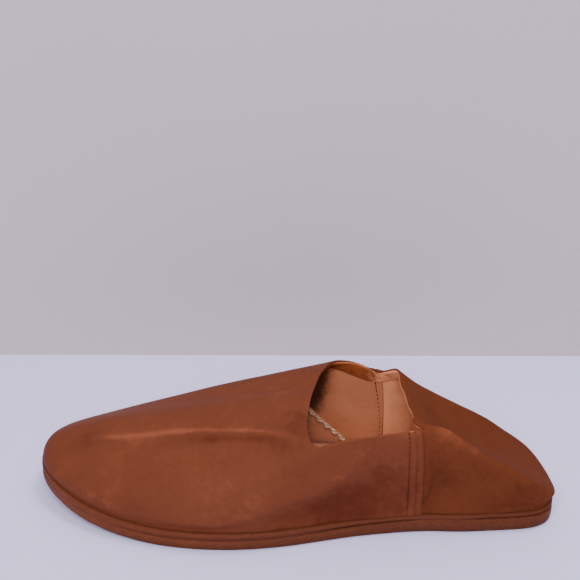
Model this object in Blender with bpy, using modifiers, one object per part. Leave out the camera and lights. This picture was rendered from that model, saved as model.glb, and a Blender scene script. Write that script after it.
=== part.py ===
"""Leather slipper with a folded-down heel, left shoe.

Outsole, midsole, insole and one hollow upper. Metres, +Z up, toe towards -Y, outer (lateral)
side towards +X. The origin is at the bottom centre of the bounding box.
"""
from collections import namedtuple

import bpy
import numpy as np

# ---------------------------------------------------------------- driving dimensions
LENGTH = 0.262            # sole, toe to heel
BALL_WIDTH = 0.093        # sole, across the ball
INSTEP_HEIGHT = 0.0615    # top of the throat above the floor
WALL = 0.0020             # upper leather with its lining
GAP = 0.0003              # clearance between pieces that meet

OUTSOLE_FORE = 0.0052     # outsole under the forefoot
OUTSOLE_HEEL = 0.0074     # and under the heel
THICKEN_START = 0.40      # where it begins to thicken and where it is full, of the length
THICKEN_FULL = 0.86
SOLE_THICK = 0.0088       # outsole and midsole together, under the forefoot
HEEL_RAND = 0.0010        # extra midsole thickness under the heel
RAND_START = 0.60         # where that extra begins and where it is full, of the length
RAND_FULL = 0.85
INSOLE_THICK = 0.0020

TOE_SPRING = 0.0090       # lift of the sole at the toe tip
SPRING_START = 0.275      # where the sole leaves the floor, of the length
SPRING_POWER = 1.9

LAP_STEP = 0.0007         # the vamp lies over the quarter by this much
LAP_RUN = 0.0024          # width of that step along the wall
LAP_FADE = 0.8            # share of the wall's height above which the step dies out
GUIDE_SPACING = 0.0345    # from one guide to the next, beside a seam

COLUMNS_PER_GUIDE = 5     # columns of faces between two guides
PROFILE_ROWS = 19         # rows of faces from the feather line to the collar
BEND_REACH = 0.012        # how far a bend draws those rows together, metres per radian
UPRIGHT = 0.0012          # the wall stands upright this far above the feather line
PROFILE_SAMPLES = 241     # points that a guide's curve is measured with
TANGENT_STEP = 0.001      # in guides, for the outline's direction
SHARP_ANGLE = 40          # degrees; sharper bends between faces are shaded as edges

# A guide is one profile of the upper, from the feather line (where it meets the sole) up to a
# shoulder and over to the collar. Guides run round the shoe from the toe, outer side first.
# along: of LENGTH, from the toe. across: of half BALL_WIDTH, outer side positive.
# heights: of INSTEP_HEIGHT. ledge: sole showing outside the feather line, metres.
# swell: bulge of the wall beyond the feather line, metres. square: 2 is an elliptic shoulder,
# more is a tighter one.
Guide = namedtuple("Guide", "name along across ledge shoulder swell square "
                            "collar_along collar_across collar_height")
GUIDES = [
    Guide("toe tip", 0.008, -0.17, 0.0019, 0.535, 0.0000, 3.3, 0.528, 0.09, 0.995),
    Guide("toe outer", 0.053, 0.29, 0.0026, 0.420, 0.0018, 2.7, 0.5215, 0.30, 0.950),
    Guide("fore outer", 0.157, 0.68, 0.0034, 0.46, 0.0026, 2.8, 0.519, 0.50, 0.910),
    Guide("ball outer", 0.317, 0.915, 0.0032, 0.47, 0.0030, 2.7, 0.5235, 0.66, 0.865),
    Guide("waist outer", 0.470, 0.880, 0.0030, 0.58, 0.0018, 2.4, 0.545, 0.768, 0.846),
    Guide("side outer", 0.603, 0.722, 0.0025, 0.78, 0.0010, 2.2, 0.615, 0.69, 0.880),
    Guide("seam outer", 0.733, 0.635, 0.0020, 0.90, 0.0008, 3.0, 0.722, 0.61, 0.914),
    Guide("peak outer", 0.797, 0.640, 0.0020, 0.975, 0.0006, 4.0, 0.721, 0.50, 0.925),
    Guide("heel outer", 0.887, 0.616, 0.0018, 0.66, 0.0012, 4.5, 0.719, 0.33, 0.930),
    Guide("corner outer", 0.966, 0.505, 0.0019, 0.40, 0.0030, 4.5, 0.716, 0.16, 0.930),
    Guide("heel back", 0.989, 0.09, 0.0012, 0.225, 0.0024, 3.0, 0.713, 0.00, 0.930),
    Guide("corner inner", 0.962, -0.475, 0.0014, 0.294, 0.0023, 3.2, 0.711, -0.17, 0.930),
    Guide("heel inner", 0.890, -0.513, 0.0018, 0.522, 0.0012, 4.3, 0.7065, -0.36, 0.932),
    Guide("peak inner", 0.788, -0.627, 0.0020, 0.592, 0.0006, 3.5, 0.701, -0.575, 0.9575),
    Guide("seam inner", 0.690, -0.65, 0.0020, 0.897, 0.0008, 3.0, 0.667, -0.623, 0.919),
    Guide("side inner", 0.585, -0.69, 0.0025, 0.87, 0.0012, 2.2, 0.622, -0.704, 0.955),
    Guide("waist inner",  0.470, -0.77, 0.0030, 0.80, 0.0015, 2.1, 0.582, -0.67, 0.995),
    Guide("ball inner", 0.317, -0.92, 0.0032, 0.70, 0.0018, 2.1, 0.561, -0.51, 1.020),
    Guide("fore inner", 0.160, -0.85, 0.0032, 0.545, 0.0008, 3.2, 0.5455, -0.32, 1.015),
    Guide("toe inner", 0.053, -0.58, 0.0024, 0.478, 0.0027, 3.9, 0.5345, -0.11, 0.988),
]
SEAM_OUTER = 6            # places of the side seams and of the heel, in guides from the toe tip
HEEL_BACK = 10
SEAM_INNER = 14

# Edges of the flat pieces, from below upwards: inset from the widest line, height as a fraction.
OUTSOLE_EDGE = [(0.0013, 0.0), (0.0005, 0.07), (0.0, 0.24), (0.0, 0.86), (0.0005, 1.0)]
MIDSOLE_EDGE = [(0.0008, 0.0), (0.0004, 0.25), (0.0004, 0.75), (0.0009, 1.0)]
INSOLE_EDGE = [(0.0, 0.0), (0.0, 0.7), (0.0006, 1.0)]

# name: base colour, roughness
LEATHERS = {
    "sole_leather": ((0.158, 0.070, 0.044, 1.0), 0.62),
    "midsole_leather": ((0.215, 0.085, 0.045, 1.0), 0.60),
    "upper_leather": ((0.222, 0.062, 0.029, 1.0), 0.45),
    "lining_leather": ((0.330, 0.130, 0.062, 1.0), 0.65),
}


# ---------------------------------------------------------------- the last
def guide_table():
    """Guides in metres: foot y, foot x, ledge, shoulder z, swell, square, collar y, x, z."""
    rows = []
    for guide in GUIDES:
        rows.append([
            (guide.along - 0.5) * LENGTH,
            guide.across * BALL_WIDTH / 2,
            guide.ledge,
            guide.shoulder * INSTEP_HEIGHT,
            guide.swell,
            guide.square,
            (guide.collar_along - 0.5) * LENGTH,
            guide.collar_across * BALL_WIDTH / 2,
            guide.collar_height * INSTEP_HEIGHT,
        ])
    return np.array(rows)


def closed_spline(values, places):
    """Smooth closed curve through the rows of values, read at places counted in rows."""
    count = len(values)
    weights = 4 * np.eye(count) + np.roll(np.eye(count), 1, 0) + np.roll(np.eye(count), -1, 0)
    slopes = np.linalg.solve(weights, 3 * (np.roll(values, -1, 0) - np.roll(values, 1, 0)))
    start = np.floor(places).astype(int) % count
    end = (start + 1) % count
    t = (places - np.floor(places))[:, None]
    return (values[start] * (2 * t**3 - 3 * t**2 + 1) + slopes[start] * (t**3 - 2 * t**2 + t)
            + values[end] * (3 * t**2 - 2 * t**3) + slopes[end] * (t**3 - t**2))


def ramp(value, low, high):
    """0 below low, 1 above high, smooth between."""
    t = np.clip((value - low) / (high - low), 0.0, 1.0)
    return t * t * (3 - 2 * t)


def sole_lift(y):
    """Height of the sole's underside above the floor."""
    start = (SPRING_START - 0.5) * LENGTH
    t = np.clip((start - y) / (start + LENGTH / 2), 0.0, None)
    return TOE_SPRING * t**SPRING_POWER


def outsole_thick(y):
    along = y / LENGTH + 0.5
    return OUTSOLE_FORE + (OUTSOLE_HEEL - OUTSOLE_FORE) * ramp(along, THICKEN_START, THICKEN_FULL)


def midsole_thick(y):
    along = y / LENGTH + 0.5
    return SOLE_THICK + HEEL_RAND * ramp(along, RAND_START, RAND_FULL) - outsole_thick(y)


def midsole_base(y):
    return sole_lift(y) + outsole_thick(y) + GAP


def midsole_top(y):
    return midsole_base(y) + midsole_thick(y)


def foot_line(places, offset=0.0):
    """Feather line, moved outwards by offset: x, y and the outward direction."""
    table = guide_table()[:, [1, 0]]
    ahead = closed_spline(table, places + TANGENT_STEP) - closed_spline(table, places - TANGENT_STEP)
    ahead /= np.linalg.norm(ahead, axis=1)[:, None]
    outward = np.stack([ahead[:, 1], -ahead[:, 0]], axis=1)
    line = closed_spline(table, places) + outward * np.reshape(offset, (-1, 1))
    return line, outward


# ---------------------------------------------------------------- the upper
def lap(places):
    """1 on the vamp, 0 on the quarter, with a short slope at each side seam."""
    half = LAP_RUN / 2 / GUIDE_SPACING
    inside = np.minimum(SEAM_OUTER - places, places - SEAM_INNER + len(GUIDES))
    inside = np.where(places > HEEL_BACK, places - SEAM_INNER, inside)
    return np.clip((inside + half) / (2 * half), 0.0, 1.0)


def upper_profiles(places, rows):
    """Outer face of the upper: for each place, points from the feather line to the collar."""
    table = closed_spline(guide_table(), places)
    foot, outward = foot_line(places)
    ledge, shoulder_z, swell, square, collar_y, collar_x, collar_z = table[:, 2:].T
    foot_z = midsole_top(foot[:, 1]) + GAP
    start = np.column_stack([foot, foot_z + UPRIGHT])[:, None]
    shoulder = np.column_stack([foot, shoulder_z])[:, None]
    collar = np.column_stack([collar_x, collar_y, collar_z])[:, None]
    side = np.column_stack([outward, 0 * foot_z])[:, None]

    angle = np.pi / 4 * (1 - np.cos(np.linspace(0, np.pi, PROFILE_SAMPLES)))
    power = (2 / square)[:, None]
    rise = np.sin(angle)[None] ** power
    cross = 1 - np.cos(angle)[None] ** power
    rise, cross = rise[..., None], cross[..., None]
    fine = start + (shoulder - start) * rise + (collar - shoulder) * cross
    fine = fine + side * swell[:, None, None] * np.sin(np.pi * rise)
    lines = np.array([spread(line, rows - 1) for line in fine])
    feather = np.column_stack([foot, foot_z])[:, None]
    return np.concatenate([feather, lines], axis=1)


def spread(line, rows):
    """The line read at rows + 1 points, closer together where it bends."""
    steps = np.diff(line, axis=0)
    length = np.linalg.norm(steps, axis=1)
    heading = steps / np.maximum(length, 1e-9)[:, None]
    turning = np.append(0.0, np.linalg.norm(np.diff(heading, axis=0), axis=1))
    measure = np.append(0.0, np.cumsum(length + BEND_REACH * turning))
    wanted = np.linspace(0.0, measure[-1], rows + 1)
    return np.column_stack([np.interp(wanted, measure, line[:, axis]) for axis in range(3)])


def outward_normals(grid):
    """Unit normals of a grid of points that is closed along its first axis."""
    around = np.roll(grid, -1, 0) - np.roll(grid, 1, 0)
    upwards = np.gradient(grid, axis=1)
    normals = np.cross(around, upwards)
    return normals / np.linalg.norm(normals, axis=2)[..., None]


def upper_places():
    """Even columns, with a pair at the foot and top of each seam's step."""
    half = LAP_RUN / 2 / GUIDE_SPACING
    even = np.arange(len(GUIDES) * COLUMNS_PER_GUIDE) / COLUMNS_PER_GUIDE
    even = np.delete(even, [SEAM_OUTER * COLUMNS_PER_GUIDE, SEAM_INNER * COLUMNS_PER_GUIDE])
    steps = [seam + side * half for seam in (SEAM_OUTER, SEAM_INNER) for side in (-1, 1)]
    return np.sort(np.append(even, steps))


# ---------------------------------------------------------------- meshes
def add_object(name, points, faces, leather, collection, parent):
    mesh = bpy.data.meshes.new(name)
    mesh.from_pydata([tuple(point) for point in points], [], faces)
    mesh.shade_smooth()
    mesh.set_sharp_from_angle(angle=np.radians(SHARP_ANGLE))
    mesh.materials.append(leather)
    item = bpy.data.objects.new(name, mesh)
    item.parent = parent
    collection.objects.link(item)
    return item


def ring_faces(rings, columns):
    """Faces between rings of points, each ring above the last."""
    faces = []
    for ring in range(rings - 1):
        low = ring * columns
        for column in range(columns):
            after = (column + 1) % columns
            faces.append((low + column, low + after, low + columns + after, low + columns + column))
    return faces


def rung_faces(first, columns):
    """Faces across a ring, each joining the two sides of the shoe at one distance along it."""
    faces = [(first, first + 1, first + columns - 1)]
    for column in range(1, columns // 2 - 1):
        faces.append((first + column, first + column + 1,
                      first + columns - column - 1, first + columns - column))
    middle = first + columns // 2
    faces.append((middle - 1, middle, middle + 1))
    return faces


def make_layer(name, edge, margin, base, thick, leather, collection, parent):
    """A flat piece: its edge profile carried round the outline, closed below and above."""
    columns = len(GUIDES) * COLUMNS_PER_GUIDE
    places = np.arange(columns) / COLUMNS_PER_GUIDE
    ledge = closed_spline(guide_table()[:, 2:3], places)[:, 0]
    points = []
    for inset, height in edge:
        line, _ = foot_line(places, margin(ledge) - inset)
        z = base(line[:, 1]) + height * thick(line[:, 1])
        points.append(np.column_stack([line, z]))
    faces = ring_faces(len(edge), columns)
    faces += [face[::-1] for face in rung_faces(0, columns)]
    faces += rung_faces((len(edge) - 1) * columns, columns)
    return add_object(name, np.concatenate(points), faces, leather, collection, parent)


def make_upper(leather, collection, parent):
    """Vamp and quarter as one shell, open at the collar and underneath."""
    places = upper_places()
    grid = upper_profiles(places, PROFILE_ROWS)
    height = np.arange(PROFILE_ROWS + 1) / PROFILE_ROWS
    step = LAP_STEP * lap(places)[:, None] * (1 - ramp(height, LAP_FADE, 1.0))
    grid = grid + outward_normals(grid) * step[..., None]
    columns = len(places)
    points = grid.transpose(1, 0, 2).reshape(-1, 3)
    faces = ring_faces(PROFILE_ROWS + 1, columns)
    upper = add_object("upper", points, faces, leather, collection, parent)
    wall = upper.modifiers.new("wall", 'SOLIDIFY')
    wall.thickness = WALL
    wall.offset = -1.0
    return upper


def make_leathers():
    leathers = {}
    for name, (colour, roughness) in LEATHERS.items():
        leather = bpy.data.materials.new(name)
        leather.use_nodes = True
        shader = leather.node_tree.nodes["Principled BSDF"]
        shader.inputs["Base Color"].default_value = colour
        shader.inputs["Roughness"].default_value = roughness
        shader.inputs["Metallic"].default_value = 0.0
        leathers[name] = leather
    return leathers


def centre_on_box(frame, items):
    """Move the frame so that the pieces' common box has its bottom centre at the origin."""
    bpy.context.view_layer.update()
    corners = np.array([item.matrix_world @ vertex.co
                        for item in items for vertex in item.data.vertices])
    low, high = corners.min(axis=0), corners.max(axis=0)
    frame.location = (-(low[0] + high[0]) / 2, -(low[1] + high[1]) / 2, -low[2])
    bpy.context.view_layer.update()


def main():
    for item in list(bpy.data.objects):
        bpy.data.objects.remove(item, do_unlink=True)
    collection = bpy.data.collections.new("slipper")
    bpy.context.scene.collection.children.link(collection)
    frame = bpy.data.objects.new("slipper_frame", None)
    collection.objects.link(frame)
    leathers = make_leathers()

    outsole = make_layer("outsole", OUTSOLE_EDGE, lambda ledge: ledge, sole_lift,
                         outsole_thick, leathers["sole_leather"], collection, frame)
    midsole = make_layer("midsole", MIDSOLE_EDGE, lambda ledge: ledge, midsole_base,
                         midsole_thick, leathers["midsole_leather"], collection, frame)
    insole = make_layer("insole", INSOLE_EDGE, lambda ledge: 0 * ledge - WALL - GAP,
                        lambda y: midsole_top(y) + GAP, lambda y: INSOLE_THICK + 0 * y,
                        leathers["lining_leather"], collection, frame)
    upper = make_upper(leathers["upper_leather"], collection, frame)
    centre_on_box(frame, [outsole, midsole, insole, upper])


main()
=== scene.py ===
"""Leather slipper with a folded-down heel, left shoe: finished leathers, stitching and stage.

Metres, +Z up, toe towards -Y, outer side towards +X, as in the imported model.
"""

import math
from collections import namedtuple

import bpy
import numpy as np
from bpy.props import FloatProperty, FloatVectorProperty, PointerProperty
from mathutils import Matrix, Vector, noise


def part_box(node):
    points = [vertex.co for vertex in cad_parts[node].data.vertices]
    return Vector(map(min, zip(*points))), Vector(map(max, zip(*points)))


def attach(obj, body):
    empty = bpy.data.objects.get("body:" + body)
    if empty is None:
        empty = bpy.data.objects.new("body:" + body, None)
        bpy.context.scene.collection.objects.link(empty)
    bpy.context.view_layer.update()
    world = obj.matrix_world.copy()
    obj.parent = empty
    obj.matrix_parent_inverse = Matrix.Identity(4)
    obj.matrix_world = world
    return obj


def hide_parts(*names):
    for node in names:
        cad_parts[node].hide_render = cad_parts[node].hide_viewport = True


bl_info = {
    "name": "Leather slipper",
    "version": (1, 0, 0),
    "blender": (4, 5, 0),
    "location": "View3D > Sidebar > Slipper",
    "description": "Dresses the slipper's solids in leather, lining and stitching",
    "category": "Object",
}

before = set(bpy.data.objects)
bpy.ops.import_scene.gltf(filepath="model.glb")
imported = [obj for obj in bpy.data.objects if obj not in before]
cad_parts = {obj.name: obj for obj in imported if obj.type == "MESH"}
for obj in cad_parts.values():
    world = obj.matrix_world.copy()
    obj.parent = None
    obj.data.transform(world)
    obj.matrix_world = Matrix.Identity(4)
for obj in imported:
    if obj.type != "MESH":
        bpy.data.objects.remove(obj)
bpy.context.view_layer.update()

# ---------------------------------------------------------------- the last, as in the solids
LENGTH = 0.262
BALL_WIDTH = 0.093
INSTEP_HEIGHT = 0.0615
GAP = 0.0003
WALL = 0.0020
OUTSOLE_FORE = 0.0052
OUTSOLE_HEEL = 0.0074
THICKEN_START = 0.40
THICKEN_FULL = 0.86
SOLE_THICK = 0.0088
HEEL_RAND = 0.0010
RAND_START = 0.60
RAND_FULL = 0.85
INSOLE_THICK = 0.0020
TOE_SPRING = 0.0090
SPRING_START = 0.275
SPRING_POWER = 1.9
LAP_STEP = 0.0007
LAP_FADE = 0.8
GUIDE_SPACING = 0.0345
BEND_REACH = 0.012
UPRIGHT = 0.0012
PROFILE_SAMPLES = 241
TANGENT_STEP = 0.001
CAD_COLUMNS = 100         # columns of the solids' outlines

# One profile of the upper each, from the feather line up to a shoulder and over to the collar.
Guide = namedtuple("Guide", "name along across ledge shoulder swell square "
                            "collar_along collar_across collar_height")
GUIDES = [
    Guide("toe tip", 0.008, -0.17, 0.0019, 0.535, 0.0000, 3.3, 0.528, 0.09, 0.995),
    Guide("toe outer", 0.053, 0.29, 0.0026, 0.420, 0.0018, 2.7, 0.5215, 0.30, 0.950),
    Guide("fore outer", 0.157, 0.68, 0.0034, 0.46, 0.0026, 2.8, 0.519, 0.50, 0.910),
    Guide("ball outer", 0.317, 0.915, 0.0032, 0.47, 0.0030, 2.7, 0.5235, 0.66, 0.865),
    Guide("waist outer", 0.470, 0.880, 0.0030, 0.58, 0.0018, 2.4, 0.545, 0.768, 0.846),
    Guide("side outer", 0.603, 0.722, 0.0025, 0.78, 0.0010, 2.2, 0.615, 0.69, 0.880),
    Guide("seam outer", 0.733, 0.635, 0.0020, 0.90, 0.0008, 3.0, 0.722, 0.61, 0.914),
    Guide("peak outer", 0.797, 0.640, 0.0020, 0.975, 0.0006, 4.0, 0.721, 0.50, 0.925),
    Guide("heel outer", 0.887, 0.616, 0.0018, 0.66, 0.0012, 4.5, 0.719, 0.33, 0.930),
    Guide("corner outer", 0.966, 0.505, 0.0019, 0.40, 0.0030, 4.5, 0.716, 0.16, 0.930),
    Guide("heel back", 0.989, 0.09, 0.0012, 0.225, 0.0024, 3.0, 0.713, 0.00, 0.930),
    Guide("corner inner", 0.962, -0.475, 0.0014, 0.294, 0.0023, 3.2, 0.711, -0.17, 0.930),
    Guide("heel inner", 0.890, -0.513, 0.0018, 0.522, 0.0012, 4.3, 0.7065, -0.36, 0.932),
    Guide("peak inner", 0.788, -0.627, 0.0020, 0.592, 0.0006, 3.5, 0.701, -0.575, 0.9575),
    Guide("seam inner", 0.690, -0.65, 0.0020, 0.897, 0.0008, 3.0, 0.667, -0.623, 0.919),
    Guide("side inner", 0.585, -0.69, 0.0025, 0.87, 0.0012, 2.2, 0.622, -0.704, 0.955),
    Guide("waist inner",  0.470, -0.77, 0.0030, 0.80, 0.0015, 2.1, 0.582, -0.67, 0.995),
    Guide("ball inner", 0.317, -0.92, 0.0032, 0.70, 0.0018, 2.1, 0.561, -0.51, 1.020),
    Guide("fore inner", 0.160, -0.85, 0.0032, 0.545, 0.0008, 3.2, 0.5455, -0.32, 1.015),
    Guide("toe inner", 0.053, -0.58, 0.0024, 0.478, 0.0027, 3.9, 0.5345, -0.11, 0.988),
]
SEAM_OUTER = 6
HEEL_BACK = 10
SEAM_INNER = 14
FEATHER = -0.03           # the rise that stands for the feather line itself


def guide_table():
    """Guides in metres: foot y, foot x, ledge, shoulder z, swell, square, collar y, x, z."""
    table = np.array([guide[1:] for guide in GUIDES])
    table[:, [0, 6]] = (table[:, [0, 6]] - 0.5) * LENGTH
    table[:, [1, 7]] *= BALL_WIDTH / 2
    table[:, [3, 8]] *= INSTEP_HEIGHT
    return table


def closed_spline(values, places):
    """Smooth closed curve through the rows of values, read at places counted in rows."""
    count = len(values)
    weights = 4 * np.eye(count) + np.roll(np.eye(count), 1, 0) + np.roll(np.eye(count), -1, 0)
    slopes = np.linalg.solve(weights, 3 * (np.roll(values, -1, 0) - np.roll(values, 1, 0)))
    start = np.floor(places).astype(int) % count
    end = (start + 1) % count
    t = (places - np.floor(places))[:, None]
    return (values[start] * (2 * t**3 - 3 * t**2 + 1) + slopes[start] * (t**3 - 2 * t**2 + t)
            + values[end] * (3 * t**2 - 2 * t**3) + slopes[end] * (t**3 - t**2))


def ramp(value, low, high):
    """0 below low, 1 above high, smooth between."""
    t = np.clip((value - low) / (high - low), 0.0, 1.0)
    return t * t * (3 - 2 * t)


def sole_lift(y):
    """Height of the sole's underside above the floor."""
    start = (SPRING_START - 0.5) * LENGTH
    t = np.clip((start - y) / (start + LENGTH / 2), 0.0, None)
    return TOE_SPRING * t**SPRING_POWER


def outsole_thick(y):
    along = y / LENGTH + 0.5
    return OUTSOLE_FORE + (OUTSOLE_HEEL - OUTSOLE_FORE) * ramp(along, THICKEN_START, THICKEN_FULL)


def midsole_thick(y):
    along = y / LENGTH + 0.5
    return SOLE_THICK + HEEL_RAND * ramp(along, RAND_START, RAND_FULL) - outsole_thick(y)


def midsole_base(y):
    return sole_lift(y) + outsole_thick(y) + GAP


def midsole_top(y):
    return midsole_base(y) + midsole_thick(y)


def foot_line(places, offset=0.0):
    """Feather line, moved outwards by offset: x, y and the outward direction."""
    table = guide_table()[:, [1, 0]]
    ahead = closed_spline(table, places + TANGENT_STEP) - closed_spline(table, places - TANGENT_STEP)
    ahead /= np.linalg.norm(ahead, axis=1)[:, None]
    outward = np.stack([ahead[:, 1], -ahead[:, 0]], axis=1)
    line = closed_spline(table, places) + outward * np.reshape(offset, (-1, 1))
    return line, outward


def round_places(count):
    """Places evenly round the shoe, in guides."""
    return np.arange(count) * len(GUIDES) / count


def ledge_at(places):
    return closed_spline(guide_table()[:, 2:3], places)[:, 0]


def frame_shift():
    """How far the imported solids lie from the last's own coordinates."""
    places = round_places(CAD_COLUMNS)
    line, _ = foot_line(places, ledge_at(places))
    low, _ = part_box("outsole")
    return np.array([low.x - line[:, 0].min(), low.y - line[:, 1].min(), low.z])


SHIFT = frame_shift()


def profile_lines(places):
    """A fine curve of the upper's outer face for each place, and each point's rise, 0 to 1."""
    table = closed_spline(guide_table(), places)
    foot, outward = foot_line(places)
    _, shoulder_z, swell, square, collar_y, collar_x, collar_z = table[:, 2:].T
    foot_z = midsole_top(foot[:, 1]) + GAP
    start = np.column_stack([foot, foot_z + UPRIGHT])[:, None]
    shoulder = np.column_stack([foot, shoulder_z])[:, None]
    collar = np.column_stack([collar_x, collar_y, collar_z])[:, None]
    side = np.column_stack([outward, 0 * foot_z])[:, None]
    angle = np.pi / 4 * (1 - np.cos(np.linspace(0, np.pi, PROFILE_SAMPLES)))
    power = (2 / square)[:, None]
    climb = (np.sin(angle)[None] ** power)[..., None]
    cross = (1 - np.cos(angle)[None] ** power)[..., None]
    fine = start + (shoulder - start) * climb + (collar - shoulder) * cross
    fine = fine + side * swell[:, None, None] * np.sin(np.pi * climb)
    steps = np.diff(fine, axis=1)
    length = np.linalg.norm(steps, axis=2)
    heading = steps / np.maximum(length, 1e-9)[..., None]
    turning = np.linalg.norm(np.diff(heading, axis=1), axis=2)
    turning = np.concatenate([np.zeros((len(places), 1)), turning], axis=1)
    measure = np.cumsum(length + BEND_REACH * turning, axis=1)
    measure = np.concatenate([np.zeros((len(places), 1)), measure], axis=1)
    rises = measure / measure[:, -1:]
    feather = np.column_stack([foot, foot_z])[:, None]
    fine = np.concatenate([feather, fine], axis=1)
    rises = np.concatenate([np.full((len(places), 1), FEATHER), rises], axis=1)
    return fine, rises


def base_form(places, rises):
    """Points of the upper's form: for each place, the points at its row of rises."""
    lines, marks = profile_lines(np.asarray(places, float))
    rises = np.broadcast_to(rises, (len(places), np.shape(rises)[-1]))
    points = np.empty(rises.shape + (3,))
    for index in range(len(places)):
        for axis in range(3):
            points[index, :, axis] = np.interp(rises[index], marks[index], lines[index, :, axis])
    return points


def grid_normals(points, closed=False):
    """Unit normals of a grid of points whose first axis runs round the shoe."""
    if closed:
        around = np.roll(points, -1, 0) - np.roll(points, 1, 0)
    else:
        around = np.gradient(points, axis=0)
    normals = np.cross(around, np.gradient(points, axis=1))
    return normals / np.linalg.norm(normals, axis=2)[..., None]


# ---------------------------------------------------------------- folds and creases
# Each runs from the toe towards the heel. view: "top" gives points as (along, across), "outer"
# and "inner" as (along, height) on that side. lift: metres, below 0 for a trough. over and under:
# how far it reaches above and below the line (outer and inner side of it, in the top view).
# dye: painted highlight along a ridge (above 0) and painted shade in a trough (below 0), as lightness of the
# leather's dye.
Crease = namedtuple("Crease", "name view lift dye over under points")
CREASES = [
    Crease("vamp fold", "top", 0.00095, 0.60, 0.0013, 0.0021,
           [(0.09, -0.01), (0.12, 0.05), (0.18, 0.14), (0.26, 0.21), (0.34, 0.30), (0.43, 0.46),
            (0.49, 0.61), (0.54, 0.80)]),
    Crease("beside the vamp fold", "top", -0.00080, -0.50, 0.0034, 0.0018,
           [(0.22, 0.23), (0.28, 0.28), (0.34, 0.36), (0.40, 0.46), (0.45, 0.55), (0.50, 0.67)]),
    Crease("above the vamp fold", "top", -0.00040, -0.05, 0.0040, 0.0090,
           [(0.14, -0.18), (0.24, -0.07), (0.34, 0.04), (0.44, 0.20)]),
    Crease("toe dent", "top", -0.00035, -0.12, 0.0030, 0.0022,
           [(0.075, -0.08), (0.098, -0.02), (0.125, 0.03)]),
    Crease("toe pinch", "top", -0.00030, -0.12, 0.0034, 0.0026,
           [(0.040, -0.02), (0.070, 0.06), (0.115, 0.14)]),
    Crease("side break", "outer", 0.00090, 0.25, 0.0070, 0.0034,
           [(0.23, 0.26), (0.30, 0.25), (0.36, 0.27), (0.40, 0.31), (0.44, 0.36), (0.49, 0.42),
            (0.55, 0.48), (0.59, 0.60), (0.63, 0.72)]),
    Crease("tuck under the ball", "outer", -0.00035, -0.05, 0.0022, 0.0030,
           [(0.24, 0.19), (0.30, 0.185), (0.38, 0.19), (0.44, 0.21)]),
    Crease("waist hollow", "outer", -0.00180, -0.15, 0.0100, 0.0080,
           [(0.42, 0.22), (0.50, 0.28), (0.57, 0.34), (0.63, 0.44), (0.68, 0.56), (0.71, 0.70)]),
    Crease("behind the seam", "outer", -0.00130, -0.22, 0.0022, 0.0065,
           [(0.722, 0.12), (0.745, 0.27), (0.757, 0.45), (0.755, 0.62), (0.745, 0.78)]),
    Crease("heel side bulge", "outer", 0.00080, 0.05, 0.0100, 0.0090,
           [(0.79, 0.34), (0.85, 0.36), (0.91, 0.30)]),
    Crease("heel tuck", "outer", -0.00060, -0.15, 0.0020, 0.0030,
           [(0.84, 0.23), (0.90, 0.22), (0.96, 0.21)]),
    Crease("outer fold rim", "outer", 0.00080, 0.34, 0.0034, 0.0036,
           [(0.735, 0.90), (0.765, 0.95), (0.79, 0.86), (0.82, 0.75), (0.855, 0.67), (0.895, 0.58),
            (0.935, 0.47), (0.97, 0.40)]),
    Crease("outer peak", "outer", 0.00060, 0.20, 0.0045, 0.0060,
           [(0.745, 0.90), (0.765, 0.93), (0.785, 0.88)]),
    Crease("inner side break", "inner", 0.00060, 0.20, 0.0060, 0.0040,
           [(0.28, 0.34), (0.36, 0.36), (0.44, 0.44), (0.52, 0.58), (0.60, 0.74)]),
    Crease("inner waist hollow", "inner", -0.00130, -0.20, 0.0090, 0.0080,
           [(0.40, 0.24), (0.48, 0.30), (0.56, 0.42), (0.62, 0.56)]),
    Crease("behind the inner seam", "inner", -0.00130, -0.20, 0.0070, 0.0026,
           [(0.705, 0.15), (0.728, 0.35), (0.732, 0.55), (0.722, 0.72)]),
    Crease("inner fold rim", "inner", 0.00060, 0.30, 0.0034, 0.0050,
           [(0.73, 0.84), (0.77, 0.74), (0.82, 0.62), (0.87, 0.50), (0.92, 0.38)]),
    Crease("throat wrinkle, long", "top", 0.00030, 0.25, 0.0016, 0.0022,
           [(0.39, -0.14), (0.45, -0.08), (0.50, -0.06)]),
    Crease("throat wrinkle, short", "top", -0.00020, -0.10, 0.0020, 0.0016,
           [(0.44, -0.20), (0.48, -0.19), (0.515, -0.22)]),
    Crease("throat corner wrinkle", "top", -0.00035, -0.35, 0.0022, 0.0016,
           [(0.47, 0.24), (0.50, 0.30), (0.53, 0.42)]),
    Crease("side wrinkle", "outer", 0.00028, 0.15, 0.0018, 0.0026,
           [(0.40, 0.42), (0.46, 0.55), (0.52, 0.64)]),
    Crease("side wrinkle, low", "outer", -0.00025, -0.15, 0.0016, 0.0024,
           [(0.33, 0.40), (0.38, 0.46), (0.43, 0.55)]),
    Crease("inner throat wrinkle", "inner", -0.00030, -0.20, 0.0022, 0.0018,
           [(0.46, 0.72), (0.51, 0.80), (0.56, 0.88)]),
    Crease("panel dish", "top", -0.00150, -0.05, 0.0110, 0.0110,
           [(0.74, -0.02), (0.83, -0.02), (0.92, 0.00)]),
    Crease("panel dish, outer", "top", -0.00130, -0.05, 0.0070, 0.0080,
           [(0.75, 0.30), (0.83, 0.30), (0.90, 0.24)]),
    Crease("panel ruck", "top", 0.00030, 0.10, 0.0030, 0.0030, [(0.80, 0.28), (0.84, 0.10), (0.87, -0.10)]),
]
PATH_POINTS = 40
WAVES = [(0.040, 0.00022), (0.017, 0.00009), (0.007, 0.00003)]   # slack of the hide: size, height
NOISE_PLACE = Vector((3.7, 11.3, 5.9))


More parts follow.
